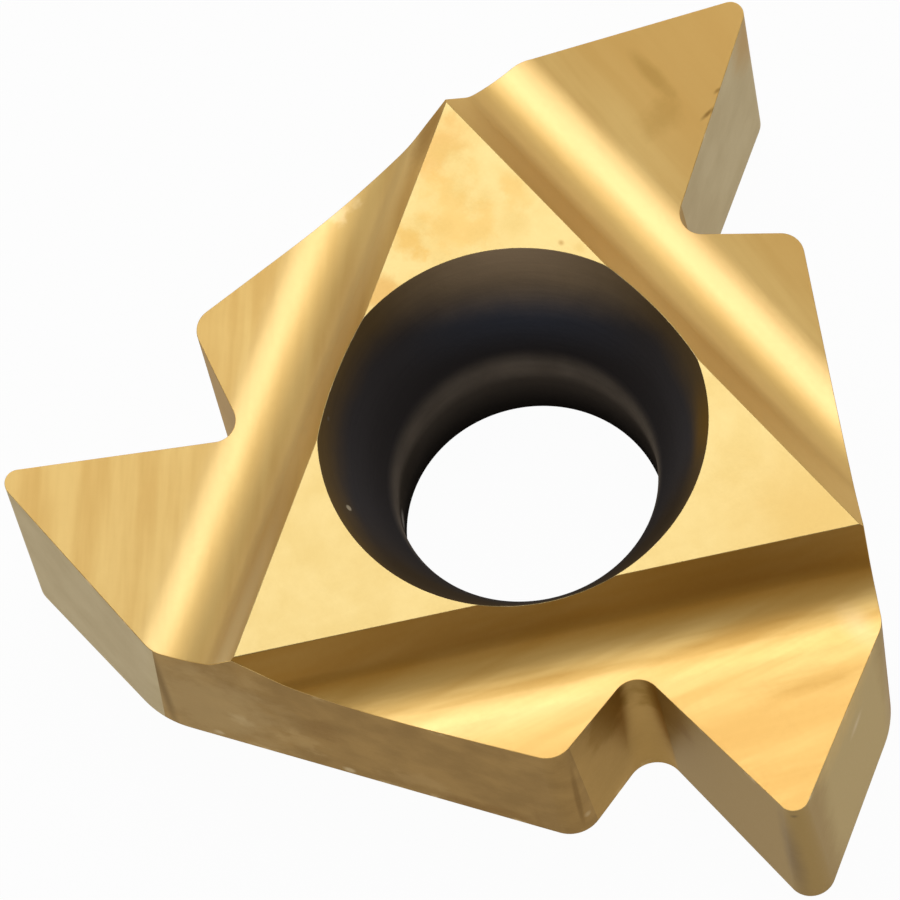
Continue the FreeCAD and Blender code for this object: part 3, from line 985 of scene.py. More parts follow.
class Graph:
    """Adds nodes to a node tree and links them."""

    def __init__(self, tree: bpy.types.NodeTree) -> None:
        """Takes the tree to build in.

        Args:
            tree: A material's or a group's node tree.
        """
        self.tree = tree

    def node(self, kind: str, **settings: object) -> bpy.types.Node:
        """Adds a node.

        Args:
            kind: Its type.
            settings: Values of its own settings, by name.

        Returns:
            The node.
        """
        made = self.tree.nodes.new(kind)
        for name, value in settings.items():
            setattr(made, name, value)
        return made

    def plug(self, value: Source, socket: Socket) -> None:
        """Links a socket to another, or writes a plain value on it.

        Args:
            value: The socket to link from, or the value.
            socket: The input.
        """
        if isinstance(value, bpy.types.NodeSocket):
            self.tree.links.new(value, socket)
        else:
            socket.default_value = value

    def feed(self, node: bpy.types.Node, **values: Source) -> bpy.types.Node:
        """Sets inputs of a node.

        Args:
            node: The node.
            values: What goes into each input. A name's spaces are written as underscores.

        Returns:
            The same node.
        """
        for name, value in values.items():
            self.plug(value, node.inputs[name.replace("_", " ")])
        return node

    def use(self, group: bpy.types.NodeTree, **values: Source) -> dict[str, Socket]:
        """Places a node group and sets its inputs.

        Args:
            group: The group.
            values: What goes into each input.

        Returns:
            The group's outputs by name.
        """
        made = self.feed(self.node("ShaderNodeGroup", node_tree=group), **values)
        return {socket.name: socket for socket in made.outputs}

    def fill(self, kind: str, operation: str, values: Sequence[Source], **settings: object) -> bpy.types.Node:
        """Adds a node that works something out, and sets its inputs in order.

        Args:
            kind: The node's type.
            operation: What it works out.
            values: What goes into its inputs.
            settings: Values of its other settings, by name.

        Returns:
            The node.
        """
        made = self.node(kind, operation=operation, **settings)
        for value, socket in zip(values, made.inputs):
            self.plug(value, socket)
        return made

    def math(self, operation: str, *values: Socket | float, clamp: bool = False) -> Socket:
        """Result of a Math node."""
        return self.fill("ShaderNodeMath", operation, values, use_clamp=clamp).outputs[0]

    def vector(self, operation: str, *values: Source) -> Socket:
        """Result of a Vector Math node."""
        made = self.fill("ShaderNodeVectorMath", operation, values)
        return made.outputs["Value" if operation == "LENGTH" else "Vector"]

    def split(self, vector: Socket) -> list[Socket]:
        """The three parts of a vector."""
        return list(self.feed(self.node("ShaderNodeSeparateXYZ"), Vector=vector).outputs)

    def noise(self, vector: Socket, scale: Socket | float, detail: float, rough: float) -> Socket:
        """Value of a Noise Texture, from about 0.3 to 0.7."""
        made = self.node("ShaderNodeTexNoise")
        return self.feed(made, Vector=vector, Scale=scale, Detail=detail, Roughness=rough).outputs["Fac"]

    def spread(self, value: Socket, low: Socket | float, high: Socket | float) -> Socket:
        """A value spread smoothly to 0 at low and 1 at high."""
        made = self.node("ShaderNodeMapRange", interpolation_type="SMOOTHSTEP")
        return self.feed(made, Value=value, From_Min=low, From_Max=high).outputs["Result"]

    def fade(self, value: Socket, low: Socket | float, high: Socket | float) -> Socket:
        """A value turned smoothly to 1 at low and 0 at high."""
        return self.math("SUBTRACT", 1.0, self.spread(value, low, high))

    def blend(self, share: Socket | float, first: Socket | Colour, second: Socket | Colour) -> Socket:
        """Colour between two colours.

        Args:
            share: 0 for the first colour and 1 for the second.
            first: The first colour.
            second: The second colour.

        Returns:
            The mixed colour.
        """
        made = self.node("ShaderNodeMix", data_type="RGBA", clamp_factor=True)
        self.plug(share, made.inputs[0])
        for value, socket in zip((first, second), made.inputs[MIX_COLOURS]):
            self.plug(value if isinstance(value, bpy.types.NodeSocket) else (*value, 1.0), socket)
        return made.outputs[MIX_RESULT]

    def vary(self, grain: Socket, middle: float, spread: float) -> Socket:
        """A value that a grain from 0 to 1 spreads about its middle."""
        return self.math("ADD", self.math("MULTIPLY", grain, spread), middle - spread / 2)

    def bump(self, height: Socket, strength: float) -> Socket:
        """The surface's normal with fine marks in it."""
        made = self.node("ShaderNodeBump")
        return self.feed(made, Strength=strength, Distance=MARK_DEPTH, Height=height).outputs[0]

    def chart(self) -> Socket:
        """Place on the surface itself: along a tooth or side, and up it, in millimetres."""
        return self.node("ShaderNodeAttribute", attribute_name="chart").outputs["Vector"]

    def place(self) -> Socket:
        """Place in the row frame, in millimetres."""
        source = self.node("ShaderNodeTexCoord").outputs["Object"]
        return self.vector("MULTIPLY", source, (1 / METRES, 1 / METRES, 1 / METRES))

    def edge(self) -> Socket:
        """1 on the insert's edges and 0 away from them."""
        return self.node("ShaderNodeAttribute", attribute_name="edge").outputs["Fac"]

    def end(self, shader: bpy.types.Node) -> None:
        """Puts a shader on the surface."""
        self.feed(self.node("ShaderNodeOutputMaterial"), Surface=shader.outputs[0])


class Group(Graph):
    """A shader node group in the making. Its outputs are plain values."""

    def __init__(self, label: str, **inputs: float | Sequence[float]) -> None:
        """Starts the group with its inputs.

        Args:
            label: The group's name.
            inputs: Default of each input: a number, or three for a vector.
        """
        super().__init__(bpy.data.node_groups.new(label, "ShaderNodeTree"))
        for name, value in inputs.items():
            kind = "NodeSocketFloat" if isinstance(value, float) else "NodeSocketVector"
            socket = self.tree.interface.new_socket(name, in_out="INPUT", socket_type=kind)
            socket.default_value = value
        self.given = self.node("NodeGroupInput").outputs

    def close(self, **values: Socket) -> bpy.types.NodeTree:
        """Gives the group its outputs.

        Args:
            values: What comes out, by name.

        Returns:
            The finished group.
        """
        for name in values:
            self.tree.interface.new_socket(name, in_out="OUTPUT", socket_type="NodeSocketFloat")
        self.feed(self.node("NodeGroupOutput"), **values)
        return self.tree


def new_material(name: str) -> tuple[bpy.types.Material, Graph]:
    """Starts a material with an empty node tree.

    Args:
        name: The material's name.

    Returns:
        The material and the graph of its nodes.
    """
    made = bpy.data.materials.new(name)
    made.use_nodes = True
    made.node_tree.nodes.clear()
    return made, Graph(made.node_tree)


class Effects:
    """Surface effects that several finishes share, each a node group that is built once."""

    def __init__(self) -> None:
        """Builds every group."""
        self.grinding = self.build_grinding()
        self.mottle = self.build_mottle()
        self.patch = self.build_patch()
        self.wear = self.build_wear()
        self.specks = self.build_specks()

    @staticmethod
    def build_grinding() -> bpy.types.NodeTree:
        """Marks of the grinding wheel along one direction of the chart.

        Returns:
            The group, which puts out broad streaks and fine scratches.
        """
        group = Group("Grinding marks", Turn=0.0, Streak=1.0, Scratch=14.0)
        turned = group.node("ShaderNodeVectorRotate", rotation_type="Z_AXIS")
        turned = group.feed(turned, Vector=group.chart(), Angle=group.given["Turn"]).outputs[0]
        long = group.vector("MULTIPLY", turned, STREAK_STRETCH)
        streaks = group.noise(long, group.given["Streak"], detail=3.0, rough=0.55)
        fine = group.vector("MULTIPLY", turned, SCRATCH_STRETCH)
        scratches = group.noise(fine, group.given["Scratch"], detail=4.0, rough=0.6)
        return group.close(Streaks=group.spread(streaks, *CLOUDY), Scratches=group.spread(scratches, *CLOUDY))

    @staticmethod
    def build_mottle() -> bpy.types.NodeTree:
        """Soft uneven tone of a vapour deposited coating.

        Returns:
            The group, which puts out the tone and a grain many times finer.
        """
        group = Group("Coating mottle", Size=1.0, Seed=0.0)
        seed = group.feed(group.node("ShaderNodeCombineXYZ"), Z=group.given["Seed"]).outputs[0]
        moved = group.vector("ADD", group.place(), seed)
        scale = group.math("DIVIDE", 1.0, group.given["Size"])
        tone = group.noise(moved, scale, detail=4.0, rough=0.5)
        grain = group.noise(moved, group.math("MULTIPLY", scale, GRAIN_FINENESS), detail=3.0, rough=0.6)
        return group.close(Tone=group.spread(tone, *CLOUDY), Grain=group.spread(grain, *GRAINY))

    @staticmethod
    def build_patch() -> bpy.types.NodeTree:
        """One soft patch about a point, with a ragged border.

        Returns:
            The group, which puts out the patch's mask.
        """
        zero, one = (0.0, 0.0, 0.0), (1.0, 1.0, 1.0)
        group = Group("Patch", Where=zero, Middle=zero, Reach=one, Softness=0.5, Ragged=0.3)
        away = group.vector("SUBTRACT", group.given["Where"], group.given["Middle"])
        distance = group.vector("LENGTH", group.vector("DIVIDE", away, group.given["Reach"]))
        rough = group.noise(group.place(), BORDER_SCALE, detail=4.0, rough=0.6)
        bent = group.math("MULTIPLY", group.math("SUBTRACT", rough, NOISE_MIDDLE), group.given["Ragged"])
        total = group.math("ADD", distance, group.math("MULTIPLY", bent, BORDER_BEND))
        inner = group.math("SUBTRACT", 1.0, group.given["Softness"])
        return group.close(Mask=group.fade(total, inner, 1.0))

    @staticmethod
    def build_wear() -> bpy.types.NodeTree:
        """Broken line of wear along the edges.

        Returns:
            The group, which puts out the wear's mask.
        """
        group = Group("Edge wear", Amount=0.5, Length=0.6)
        scale = group.math("DIVIDE", 1.0, group.given["Length"])
        noise = group.noise(group.place(), scale, detail=5.0, rough=0.6)
        low = group.math("SUBTRACT", WEAR_START, group.math("MULTIPLY", group.given["Amount"], WEAR_GAIN))
        broken = group.spread(noise, low, group.math("ADD", low, WEAR_SOFTNESS))
        return group.close(Mask=group.math("MULTIPLY", group.edge(), broken))

    @staticmethod
    def build_specks() -> bpy.types.NodeTree:
        """Scattered tiny specks.

        Returns:
            The group, which puts out the specks' mask.
        """
        group = Group("Specks", Spacing=0.5, Size=0.1, Share=0.3)
        scale = group.math("DIVIDE", 1.0, group.given["Spacing"])
        cells = group.feed(group.node("ShaderNodeTexVoronoi"), Vector=group.place(), Scale=scale)
        core = group.math("MULTIPLY", group.given["Size"], SPECK_CORE)
        near = group.spread(cells.outputs["Distance"], group.given["Size"], core)
        lot = group.feed(group.node("ShaderNodeSeparateColor"), Color=cells.outputs["Color"])
        chosen = group.math("LESS_THAN", lot.outputs[0], group.given["Share"])
        return group.close(Mask=group.math("MULTIPLY", near, chosen))


@dataclass(frozen=True)
class PatchSpec:
    """A patch of another tone at one place. Patches serve for stains and marks, and also for painted light
    and shade.

    Its middle and reach are in millimetres in the row frame, or in the top's own chart: across a tooth's
    axis, along it, and the number of the tooth.
    """

    middle: tuple[float, float, float]
    reach: tuple[float, float, float]
    colour: Colour
    strength: float = 0.6
    softness: float = 0.6
    ragged: float = 0.3
    on_chart: bool = False
    streaked: float = 0.0

    def lay(self, graph: Graph, effects: Effects, colour: Socket) -> Socket:
        """Lays the patch over a colour.

        Args:
            graph: The material's graph.
            effects: The shared node groups.
            colour: The colour below.

        Returns:
            The colour with the patch on it.
        """
        spot = graph.use(
            effects.patch,
            Where=graph.chart() if self.on_chart else graph.place(),
            Middle=self.middle,
            Reach=self.reach,
            Softness=self.softness,
            Ragged=self.ragged,
        )
        share = graph.math("MULTIPLY", spot["Mask"], self.strength)
        if self.streaked > 0:
            lines = graph.use(effects.grinding, **PATCH_LINES)
            kept = graph.math("MULTIPLY_ADD", lines["Streaks"], self.streaked, 1.0 - self.streaked)
            share = graph.math("MULTIPLY", share, kept)
        return graph.blend(share, colour, self.colour)


@dataclass(frozen=True)
class CoatingFinish:
    """Ground carbide under a gold nitride coating, as one of the insert's surfaces shows it.

    heel_rough is added to the roughness of a groove's wall and heel, and fades over heel_band, in distances
    along the tooth. later_turn is added to the turn of the grinding marks on the second and third tooth.
    """

    name: str
    colour: Colour
    deep: Colour
    grazing: Colour = (1.0, 0.9, 0.7)
    metallic: float = 1.0
    rough: float = 0.38
    rough_spread: float = 0.03
    heel_rough: float = 0.0
    heel_band: tuple[float, float] = (3.15, 3.55)
    turn: float = 0.0
    later_turn: float = 0.0
    streak: float = 1.0
    streak_strength: float = 0.3
    scratch: float = 14.0
    scratch_strength: float = 0.05
    mottle_size: float = 1.4
    mottle_strength: float = 0.3
    bump: float = 0.06
    wear: float = 0.25
    wear_length: float = 0.5
    wear_strength: float = 0.8
    wear_colour: Colour = (0.90, 0.70, 0.38)
    specks: float = 0.0
    speck_spacing: float = 0.45
    speck_size: float = 0.13
    speck_colour: Colour = (0.10, 0.06, 0.02)
    seed: float = 0.0
    patches: tuple[PatchSpec, ...] = ()

    def material(self, effects: Effects) -> bpy.types.Material:
        """Builds the material.

        Args:
            effects: The shared node groups.

        Returns:
            The new material.
        """
        made, graph = new_material(self.name)
        _, along, tooth = graph.split(graph.chart())
        later = graph.math("MINIMUM", tooth, 1.0)
        turn = graph.math("MULTIPLY_ADD", later, math.radians(self.later_turn), math.radians(self.turn))
        marks = graph.use(effects.grinding, Turn=turn, Streak=self.streak, Scratch=self.scratch)
        mottle = graph.use(effects.mottle, Size=self.mottle_size, Seed=self.seed)
        wear = graph.use(effects.wear, Amount=self.wear, Length=self.wear_length)
        tone = graph.math("MULTIPLY", marks["Streaks"], self.streak_strength)
        tone = graph.math("ADD", tone, graph.math("MULTIPLY", mottle["Tone"], self.mottle_strength))
        fine = graph.math("MULTIPLY", marks["Scratches"], self.scratch_strength)
        colour = graph.blend(graph.math("ADD", tone, fine, clamp=True), self.colour, self.deep)
        for patch in self.patches:
            colour = patch.lay(graph, effects, colour)
        if self.specks > 0:
            dots = graph.use(
                effects.specks, Spacing=self.speck_spacing, Size=self.speck_size, Share=self.specks
            )
            colour = graph.blend(dots["Mask"], colour, self.speck_colour)
        worn = graph.math("MULTIPLY", wear["Mask"], self.wear_strength)
        rough = graph.vary(mottle["Grain"], self.rough, self.rough_spread)
        if self.heel_rough > 0:
            band = graph.math("MULTIPLY", graph.fade(along, *self.heel_band), self.heel_rough)
            rough = graph.math("ADD", rough, band)
        height = graph.math("MULTIPLY", marks["Scratches"], 1.0 - GRAIN_SHARE)
        height = graph.math("ADD", height, graph.math("MULTIPLY", mottle["Grain"], GRAIN_SHARE))
        shader = graph.feed(
            graph.node("ShaderNodeBsdfPrincipled"),
            Base_Color=graph.blend(worn, colour, self.wear_colour),
            Metallic=self.metallic,
            Specular_Tint=(*self.grazing, 1.0),
            Roughness=rough,
            Normal=graph.bump(height, self.bump),
        )
        graph.end(shader)
        return made


@dataclass(frozen=True)
class SeatShadeFinish:
    """Painted shade and painted reflection of the dark surroundings on the wall of the screw seat and bore:
    dark, brown at the rim, blue black below it, black in the bore, with a painted highlight ring at the
    throat.

    A pair named band holds the heights over the base, in millimetres, between which a tone gives way to the
    one above it. The reach of the painted highlight ring is the same, in distances from its middle.
    """

    name: str = "seat_painted_shade"
    # Painted shade and painted reflection of the dark surroundings, from the rim down
    rim: Colour = (0.25, 0.155, 0.055)
    cool: Colour = (0.088, 0.079, 0.078)
    black: Colour = (0.068, 0.060, 0.058)
    # Painted highlight of the pale ring at the throat
    throat: Colour = (0.52, 0.43, 0.335)
    # Painted shade in the bore and at its foot
    bore: Colour = (0.20, 0.165, 0.13)
    foot: Colour = (0.055, 0.046, 0.038)
    speck_colour: Colour = (0.30, 0.25, 0.18)
    bore_band: tuple[float, float] = (0.1, 1.1)
    cone_band: tuple[float, float] = (1.4, 1.9)
    cool_band: tuple[float, float] = (1.9, 2.7)
    rim_band: tuple[float, float] = (2.75, 3.6)
    waver: float = 0.12
    # Height, reach and breakup of the painted highlight ring at the throat
    ring_highlight_level: float = 1.42
    ring_highlight_reach: tuple[float, float] = (0.05, 0.48)
    ring_highlight_least: float = 0.5
    ring_highlight_mottle: float = 0.4
    mottle_size: float = 0.9
    seed: float = 4.0
    streak: float = 1.6
    streak_strength: float = 0.25
    scratch: float = 10.0
    specks: float = 0.03
    speck_spacing: float = 0.7
    speck_size: float = 0.08
    speck_strength: float = 0.7
    rough: float = 0.5
    rough_spread: float = 0.12
    bump: float = 0.2
    shine: float = 0.0
    patches: tuple[PatchSpec, ...] = ()

    def material(self, effects: Effects) -> bpy.types.Material:
        """Builds the material.

        Args:
            effects: The shared node groups.

        Returns:
            The new material.
        """
        made, graph = new_material(self.name)
        _, _, height = graph.split(graph.place())
        mottle = graph.use(effects.mottle, Size=self.mottle_size, Seed=self.seed)
        marks = graph.use(effects.grinding, Turn=0.0, Streak=self.streak, Scratch=self.scratch)
        # Painted shade and painted reflection: tones that change with the height in the hole
        bent = graph.math("MULTIPLY", graph.math("SUBTRACT", mottle["Tone"], NOISE_MIDDLE), self.waver)
        level = graph.math("ADD", height, bent)
        colour = graph.blend(graph.spread(level, *self.cool_band), self.black, self.cool)
        colour = graph.blend(graph.spread(level, *self.rim_band), colour, self.rim)
        well = graph.blend(graph.spread(height, *self.bore_band), self.foot, self.bore)
        colour = graph.blend(graph.spread(height, *self.cone_band), well, colour)
        # Painted highlight: the pale ring at the throat
        near = graph.math("ABSOLUTE", graph.math("SUBTRACT", height, self.ring_highlight_level))
        ring = graph.fade(near, *self.ring_highlight_reach)
        broken = graph.math("MULTIPLY_ADD", mottle["Tone"], self.ring_highlight_mottle, self.ring_highlight_least)
        colour = graph.blend(graph.math("MULTIPLY", ring, broken), colour, self.throat)
        for patch in self.patches:
            colour = patch.lay(graph, effects, colour)
        shade = graph.math("MULTIPLY", marks["Streaks"], self.streak_strength)
        colour = graph.blend(shade, colour, self.black)
        dots = graph.use(effects.specks, Spacing=self.speck_spacing, Size=self.speck_size, Share=self.specks)
        dots = graph.math("MULTIPLY", dots["Mask"], self.speck_strength)
        rough = graph.vary(mottle["Grain"], self.rough, self.rough_spread)
        shader = graph.feed(
            graph.node("ShaderNodeBsdfPrincipled"),
            Base_Color=graph.blend(dots, colour, self.speck_colour),
            Specular_IOR_Level=self.shine,
            Roughness=rough,
            Normal=graph.bump(marks["Scratches"], self.bump),
        )
        graph.end(shader)
        return made


# Stains of the second tooth's notch: on its back wall, on its inner flank and in its root
NOTCH_STAINS = (
    PatchSpec((4.08, -1.85, 2.60), (0.62, 0.58, 0.82), (0.30, 0.155, 0.016), 0.75, 0.5, 0.25),
    PatchSpec((4.58, -1.05, 2.50), (0.66, 0.40, 0.85), (0.30, 0.155, 0.016), 0.75, 0.5, 0.25),
    PatchSpec((4.30, -1.32, 2.75), (0.42, 0.42, 1.0), (0.24, 0.13, 0.022), 0.7, 0.8, 0.3),
)

# Small darker spots on the platform near the upper apex: place in plan and reach, in millimetres
PLATFORM_SPOTS = (
    (-3.45, 1.90, 0.40),
    (-3.16, 2.14, 0.32),
    (-3.14, 1.87, 0.30),
    (-3.20, 1.35, 0.36),
    (-2.75, 1.65, 0.32),
    (-3.50, 1.12, 0.30),
    (-4.05, 2.22, 0.42),
    (-2.50, 2.15, 0.36),
    (-1.52, 2.60, 0.14),
)

FINISHES: dict[Zone, CoatingFinish | SeatShadeFinish] = {
    Zone.PLATFORM: CoatingFinish(
        "platform_gold",
        (0.69, 0.53, 0.225),
        (0.62, 0.45, 0.163),
        rough=0.40,
        turn=-8.0,
        streak_strength=0.15,
        mottle_size=0.55,
        mottle_strength=0.5,
        bump=0.02,
        specks=0.02,
        patches=(
            # Painted shade: the platform darker towards its right vertex
            PatchSpec((4.2, 2.4, 3.6), (2.0, 2.0, 1.0), (0.62, 0.42, 0.14), 0.8, 1.0, 0.1),
            # Stains and darker spots near the upper apex
            PatchSpec((-4.25, 2.15, 3.6), (0.5, 0.9, 1.0), (0.62, 0.35, 0.10), 0.6, 0.8, 0.4),
            PatchSpec((-3.2, 1.6, 3.6), (0.9, 0.8, 1.0), (0.70, 0.43, 0.13), 0.5, 0.8, 0.6),
            PatchSpec((-3.05, -0.05, 3.6), (0.35, 0.5, 1.0), (0.55, 0.29, 0.07), 0.6, 0.8, 0.4),
            PatchSpec((-3.40, 0.85, 3.6), (0.45, 0.40, 1.0), (0.60, 0.36, 0.09), 0.65, 0.8, 0.5),
            PatchSpec((-2.95, 2.55, 3.6), (0.50, 0.20, 1.0), (0.64, 0.41, 0.125), 0.6, 0.9, 0.4),
            PatchSpec((-1.78, 2.47, 3.6), (0.07, 0.06, 1.0), (0.36, 0.19, 0.05), 0.6, 1.0, 0.2),
            *(
                PatchSpec((across, along, 3.6), (reach, reach, 1.0), (0.57, 0.39, 0.12), 0.4, 1.0, 0.4)
                for across, along, reach in PLATFORM_SPOTS
            ),
        ),
    ),
    Zone.GROOVE: CoatingFinish(
        "groove_gold",
        (0.87, 0.61, 0.225),
        (0.68, 0.41, 0.12),
        rough=0.42,
        heel_rough=0.26,
        turn=3.0,
        later_turn=-19.0,
        streak=2.6,
        streak_strength=0.6,
        mottle_strength=0.12,
        bump=0.02,
        patches=(
            # Painted shade: the rake faces of the first and second tooth darker towards the tip
            PatchSpec((0.0, 6.2, 0.0), (30.0, 2.2, 0.5), (0.74, 0.45, 0.135), 0.85, 0.6, 0.0, True),
            PatchSpec((0.0, 6.1, 1.0), (30.0, 1.9, 0.5), (0.68, 0.405, 0.12), 0.95, 0.7, 0.0, True, 0.42),
            # Painted highlights: pale bands along the bottom of the hollow on each tooth
            PatchSpec((0.0, 3.88, 0.0), (30.0, 0.5, 0.5), (0.95, 0.67, 0.31), 0.7, 0.9, 0.0, True),
            PatchSpec((1.5, 4.2, 1.0), (4.5, 0.6, 0.5), (0.97, 0.75, 0.34), 0.5, 0.9, 0.0, True, 0.4),
            PatchSpec((0.0, 4.05, 2.0), (30.0, 0.4, 0.5), (0.94, 0.70, 0.32), 0.6, 0.9, 0.0, True),
            # Painted shade: darker bands on the inner side of the hollow, on the first and third tooth
            PatchSpec((0.0, 3.48, 0.0), (30.0, 0.34, 0.5), (0.60, 0.39, 0.125), 0.7, 1.0, 0.0, True, 0.1),
            PatchSpec((0.0, 3.62, 2.0), (30.0, 0.40, 0.5), (0.58, 0.38, 0.13), 0.8, 1.0, 0.0, True, 0.1),
            # Painted light: paler steep walls on the first and third tooth
            PatchSpec((0.0, 3.00, 0.0), (30.0, 0.50, 0.5), (0.90, 0.63, 0.245), 0.85, 0.9, 0.0, True),
            PatchSpec((0.0, 3.08, 2.0), (30.0, 0.30, 0.5), (0.94, 0.71, 0.32), 0.7, 1.0, 0.0, True),
            PatchSpec((-4.2, 2.9, 2.0), (2.8, 0.30, 0.5), (1.0, 0.82, 0.46), 0.85, 0.9, 0.0, True),
            # Darker patch at the apex end of the third tooth's wall, and pale nicks on the far edge
            PatchSpec((4.3, 2.85, 2.0), (0.9, 0.3, 0.5), (0.45, 0.24, 0.06), 0.7, 0.8, 0.15, True),
            PatchSpec((-4.72, 0.56, 2.95), (0.25, 0.25, 0.3), (1.0, 0.84, 0.52), 0.3, 0.9, 0.9),
            # Painted shade: the second tooth's wall and hollow darker
            PatchSpec((0.0, 2.95, 1.0), (30.0, 0.75, 0.5), (0.62, 0.315, 0.045), 0.9, 0.7, 0.0, True, 0.3),
            PatchSpec((0.0, 3.75, 1.0), (30.0, 0.50, 0.5), (0.46, 0.235, 0.04), 0.7, 0.9, 0.0, True, 0.9),
            # Darker marks on the rake faces, dark nicks near the first tooth's tip, and a pale patch at the
            # right
            PatchSpec((-3.1, 5.35, 0.0), (0.7, 0.16, 0.5), (0.50, 0.29, 0.07), 0.5, 0.8, 0.2, True),
            PatchSpec((-2.5, 5.0, 0.0), (0.35, 0.5, 0.5), (0.55, 0.32, 0.08), 0.45, 0.8, 0.3, True),
            PatchSpec((-3.4, 4.75, 1.0), (1.5, 0.35, 0.5), (0.50, 0.27, 0.06), 0.6, 0.9, 0.1, True, 0.8),
            PatchSpec((-2.04, 5.52, 3.23), (0.05, 0.20, 0.1), (0.22, 0.10, 0.02), 0.7, 0.9, 0.2),
            PatchSpec((-2.20, 5.86, 3.29), (0.04, 0.08, 0.1), (0.25, 0.11, 0.02), 0.6, 0.9, 0.2),
            PatchSpec((5.70, 1.78, 2.96), (0.60, 0.32, 0.4), (0.90, 0.72, 0.44), 0.28, 1.0, 0.1),
        ),
    ),
    Zone.FLANK: CoatingFinish(
        "flank_gold",
        (0.63, 0.51, 0.285),
        (0.51, 0.39, 0.19),
        grazing=(0.9, 0.82, 0.66),
        metallic=0.6,
        rough=0.5,
        streak_strength=0.2,
        mottle_strength=0.55,
        mottle_size=0.9,
        patches=(
            PatchSpec((6.3, -0.4, 1.8), (3.4, 3.4, 6.0), (0.39, 0.238, 0.053), 0.97, 0.25, 0.0),
            PatchSpec((6.6, 0.7, 1.8), (1.3, 1.6, 6.0), (0.54, 0.385, 0.14), 0.97, 0.4, 0.05),
            PatchSpec((6.6, 0.7, 3.4), (1.6, 2.0, 1.0), (0.70, 0.46, 0.13), 0.85, 1.0, 0.2),
            PatchSpec((-2.75, 6.85, 3.0), (0.6, 0.9, 1.1), (0.55, 0.32, 0.08), 0.8, 0.8, 0.1),
            PatchSpec((7.26, -1.05, 1.5), (0.26, 0.26, 2.4), (0.22, 0.125, 0.03), 0.8, 1.0, 0.1),
            PatchSpec((7.46, -0.98, 3.28), (0.08, 0.09, 0.09), (0.10, 0.05, 0.01), 0.6, 1.0, 0.2),
            PatchSpec((6.59, 0.86, 2.29), (0.34, 0.34, 0.15), (0.72, 0.58, 0.36), 0.6, 1.0, 0.15),
            *NOTCH_STAINS,
        ),
    ),
    Zone.LONG_SIDE: CoatingFinish(
        "side_bronze",
        (0.40, 0.24, 0.075),
        (0.275, 0.155, 0.042),
        grazing=(0.85, 0.72, 0.5),
        metallic=0.75,
        rough=0.5,
        streak_strength=0.15,
        mottle_strength=0.75,
        mottle_size=0.7,
        patches=(
            PatchSpec((-0.7, -5.75, 1.2), (1.9, 1.9, 2.6), (0.48, 0.33, 0.145), 0.7, 0.8, 0.3),
            PatchSpec((-1.24, -6.09, 1.8), (0.13, 0.13, 6.0), (0.17, 0.09, 0.02), 0.75, 0.9, 0.05),
            PatchSpec((-0.25, -5.50, 1.05), (0.30, 0.30, 0.30), (0.58, 0.43, 0.22), 0.6, 0.9, 0.5),
            PatchSpec((0.95, -4.82, 1.6), (0.45, 0.45, 0.8), (0.24, 0.12, 0.025), 0.5, 0.9, 0.5),
            PatchSpec((3.75, -3.12, 1.9), (0.10, 0.10, 5.0), (0.24, 0.12, 0.025), 0.55, 0.9, 0.05),
            PatchSpec((4.05, -2.92, 1.9), (0.08, 0.08, 5.0), (0.56, 0.38, 0.15), 0.45, 0.9, 0.05),
            PatchSpec((0.58, -5.03, 0.85), (0.55, 0.55, 0.40), (0.50, 0.33, 0.13), 0.5, 0.7, 0.6),
            PatchSpec((2.17, -4.09, 0.55), (0.65, 0.65, 0.35), (0.48, 0.31, 0.12), 0.45, 0.7, 0.6),
            PatchSpec((3.1, -3.6, 0.2), (0.9, 0.9, 0.35), (0.22, 0.10, 0.012), 0.5, 0.8, 0.3),
            PatchSpec((4.29, -2.71, 1.25), (0.05, 0.07, 2.0), (0.20, 0.10, 0.02), 0.7, 0.7, 0.0),
            PatchSpec((4.29, -2.60, 0.55), (0.10, 0.08, 0.12), (0.65, 0.50, 0.30), 0.45, 0.9, 0.2),
            PatchSpec((-0.62, -5.68, 0.2), (0.13, 0.13, 0.12), (0.70, 0.56, 0.34), 0.6, 0.8, 0.3),
            PatchSpec((1.16, -4.65, 0.16), (0.12, 0.12, 0.12), (0.75, 0.60, 0.36), 0.6, 0.8, 0.3),
        ),
    ),
    Zone.NOTCH: CoatingFinish(
        "notch_bronze",
        (0.46, 0.28, 0.085),
        (0.32, 0.185, 0.045),
        grazing=(0.85, 0.7, 0.45),
        metallic=0.75,
        rough=0.45,
        streak_strength=0.2,
        mottle_strength=0.4,
        patches=NOTCH_STAINS,
    ),
    Zone.SEAT: SeatShadeFinish(
        patches=(
            # Painted reflection: blue black on the far upper wall
            PatchSpec((-1.8, 1.55, 2.5), (2.2, 2.2, 0.75), (0.11, 0.125, 0.165), 1.0, 1.0, 0.0),
            # Painted light: pale brown on the far upper rim
            PatchSpec((-1.95, 1.75, 3.55), (2.5, 2.5, 1.25), (0.88, 0.62, 0.36), 1.0, 1.0, 0.03),
            # Brown at the right rim
            PatchSpec((1.8, 2.1, 3.5), (0.9, 0.9, 0.6), (0.34, 0.18, 0.03), 1.0, 1.0, 0.05),
            # Painted shade: darker brown on the lower and right walls, which the lamps light
            PatchSpec((1.2, -2.4, 3.0), (2.4, 1.7, 1.7), (0.085, 0.055, 0.026), 0.9, 0.7, 0.03),
            PatchSpec((2.5, 0.1, 2.9), (1.6, 2.4, 1.6), (0.075, 0.048, 0.022), 0.85, 0.7, 0.03),
            # Painted shade: a darker bore on its lit sides
            PatchSpec((-1.65, -1.15, 0.9), (0.9, 0.9, 0.6), (0.07, 0.055, 0.04), 0.4, 0.8, 0.0),
            PatchSpec((0.60, 1.90, 0.7), (1.1, 0.9, 0.5), (0.06, 0.045, 0.035), 0.5, 0.8, 0.0),
            # Small pale marks at the rim and in the bore
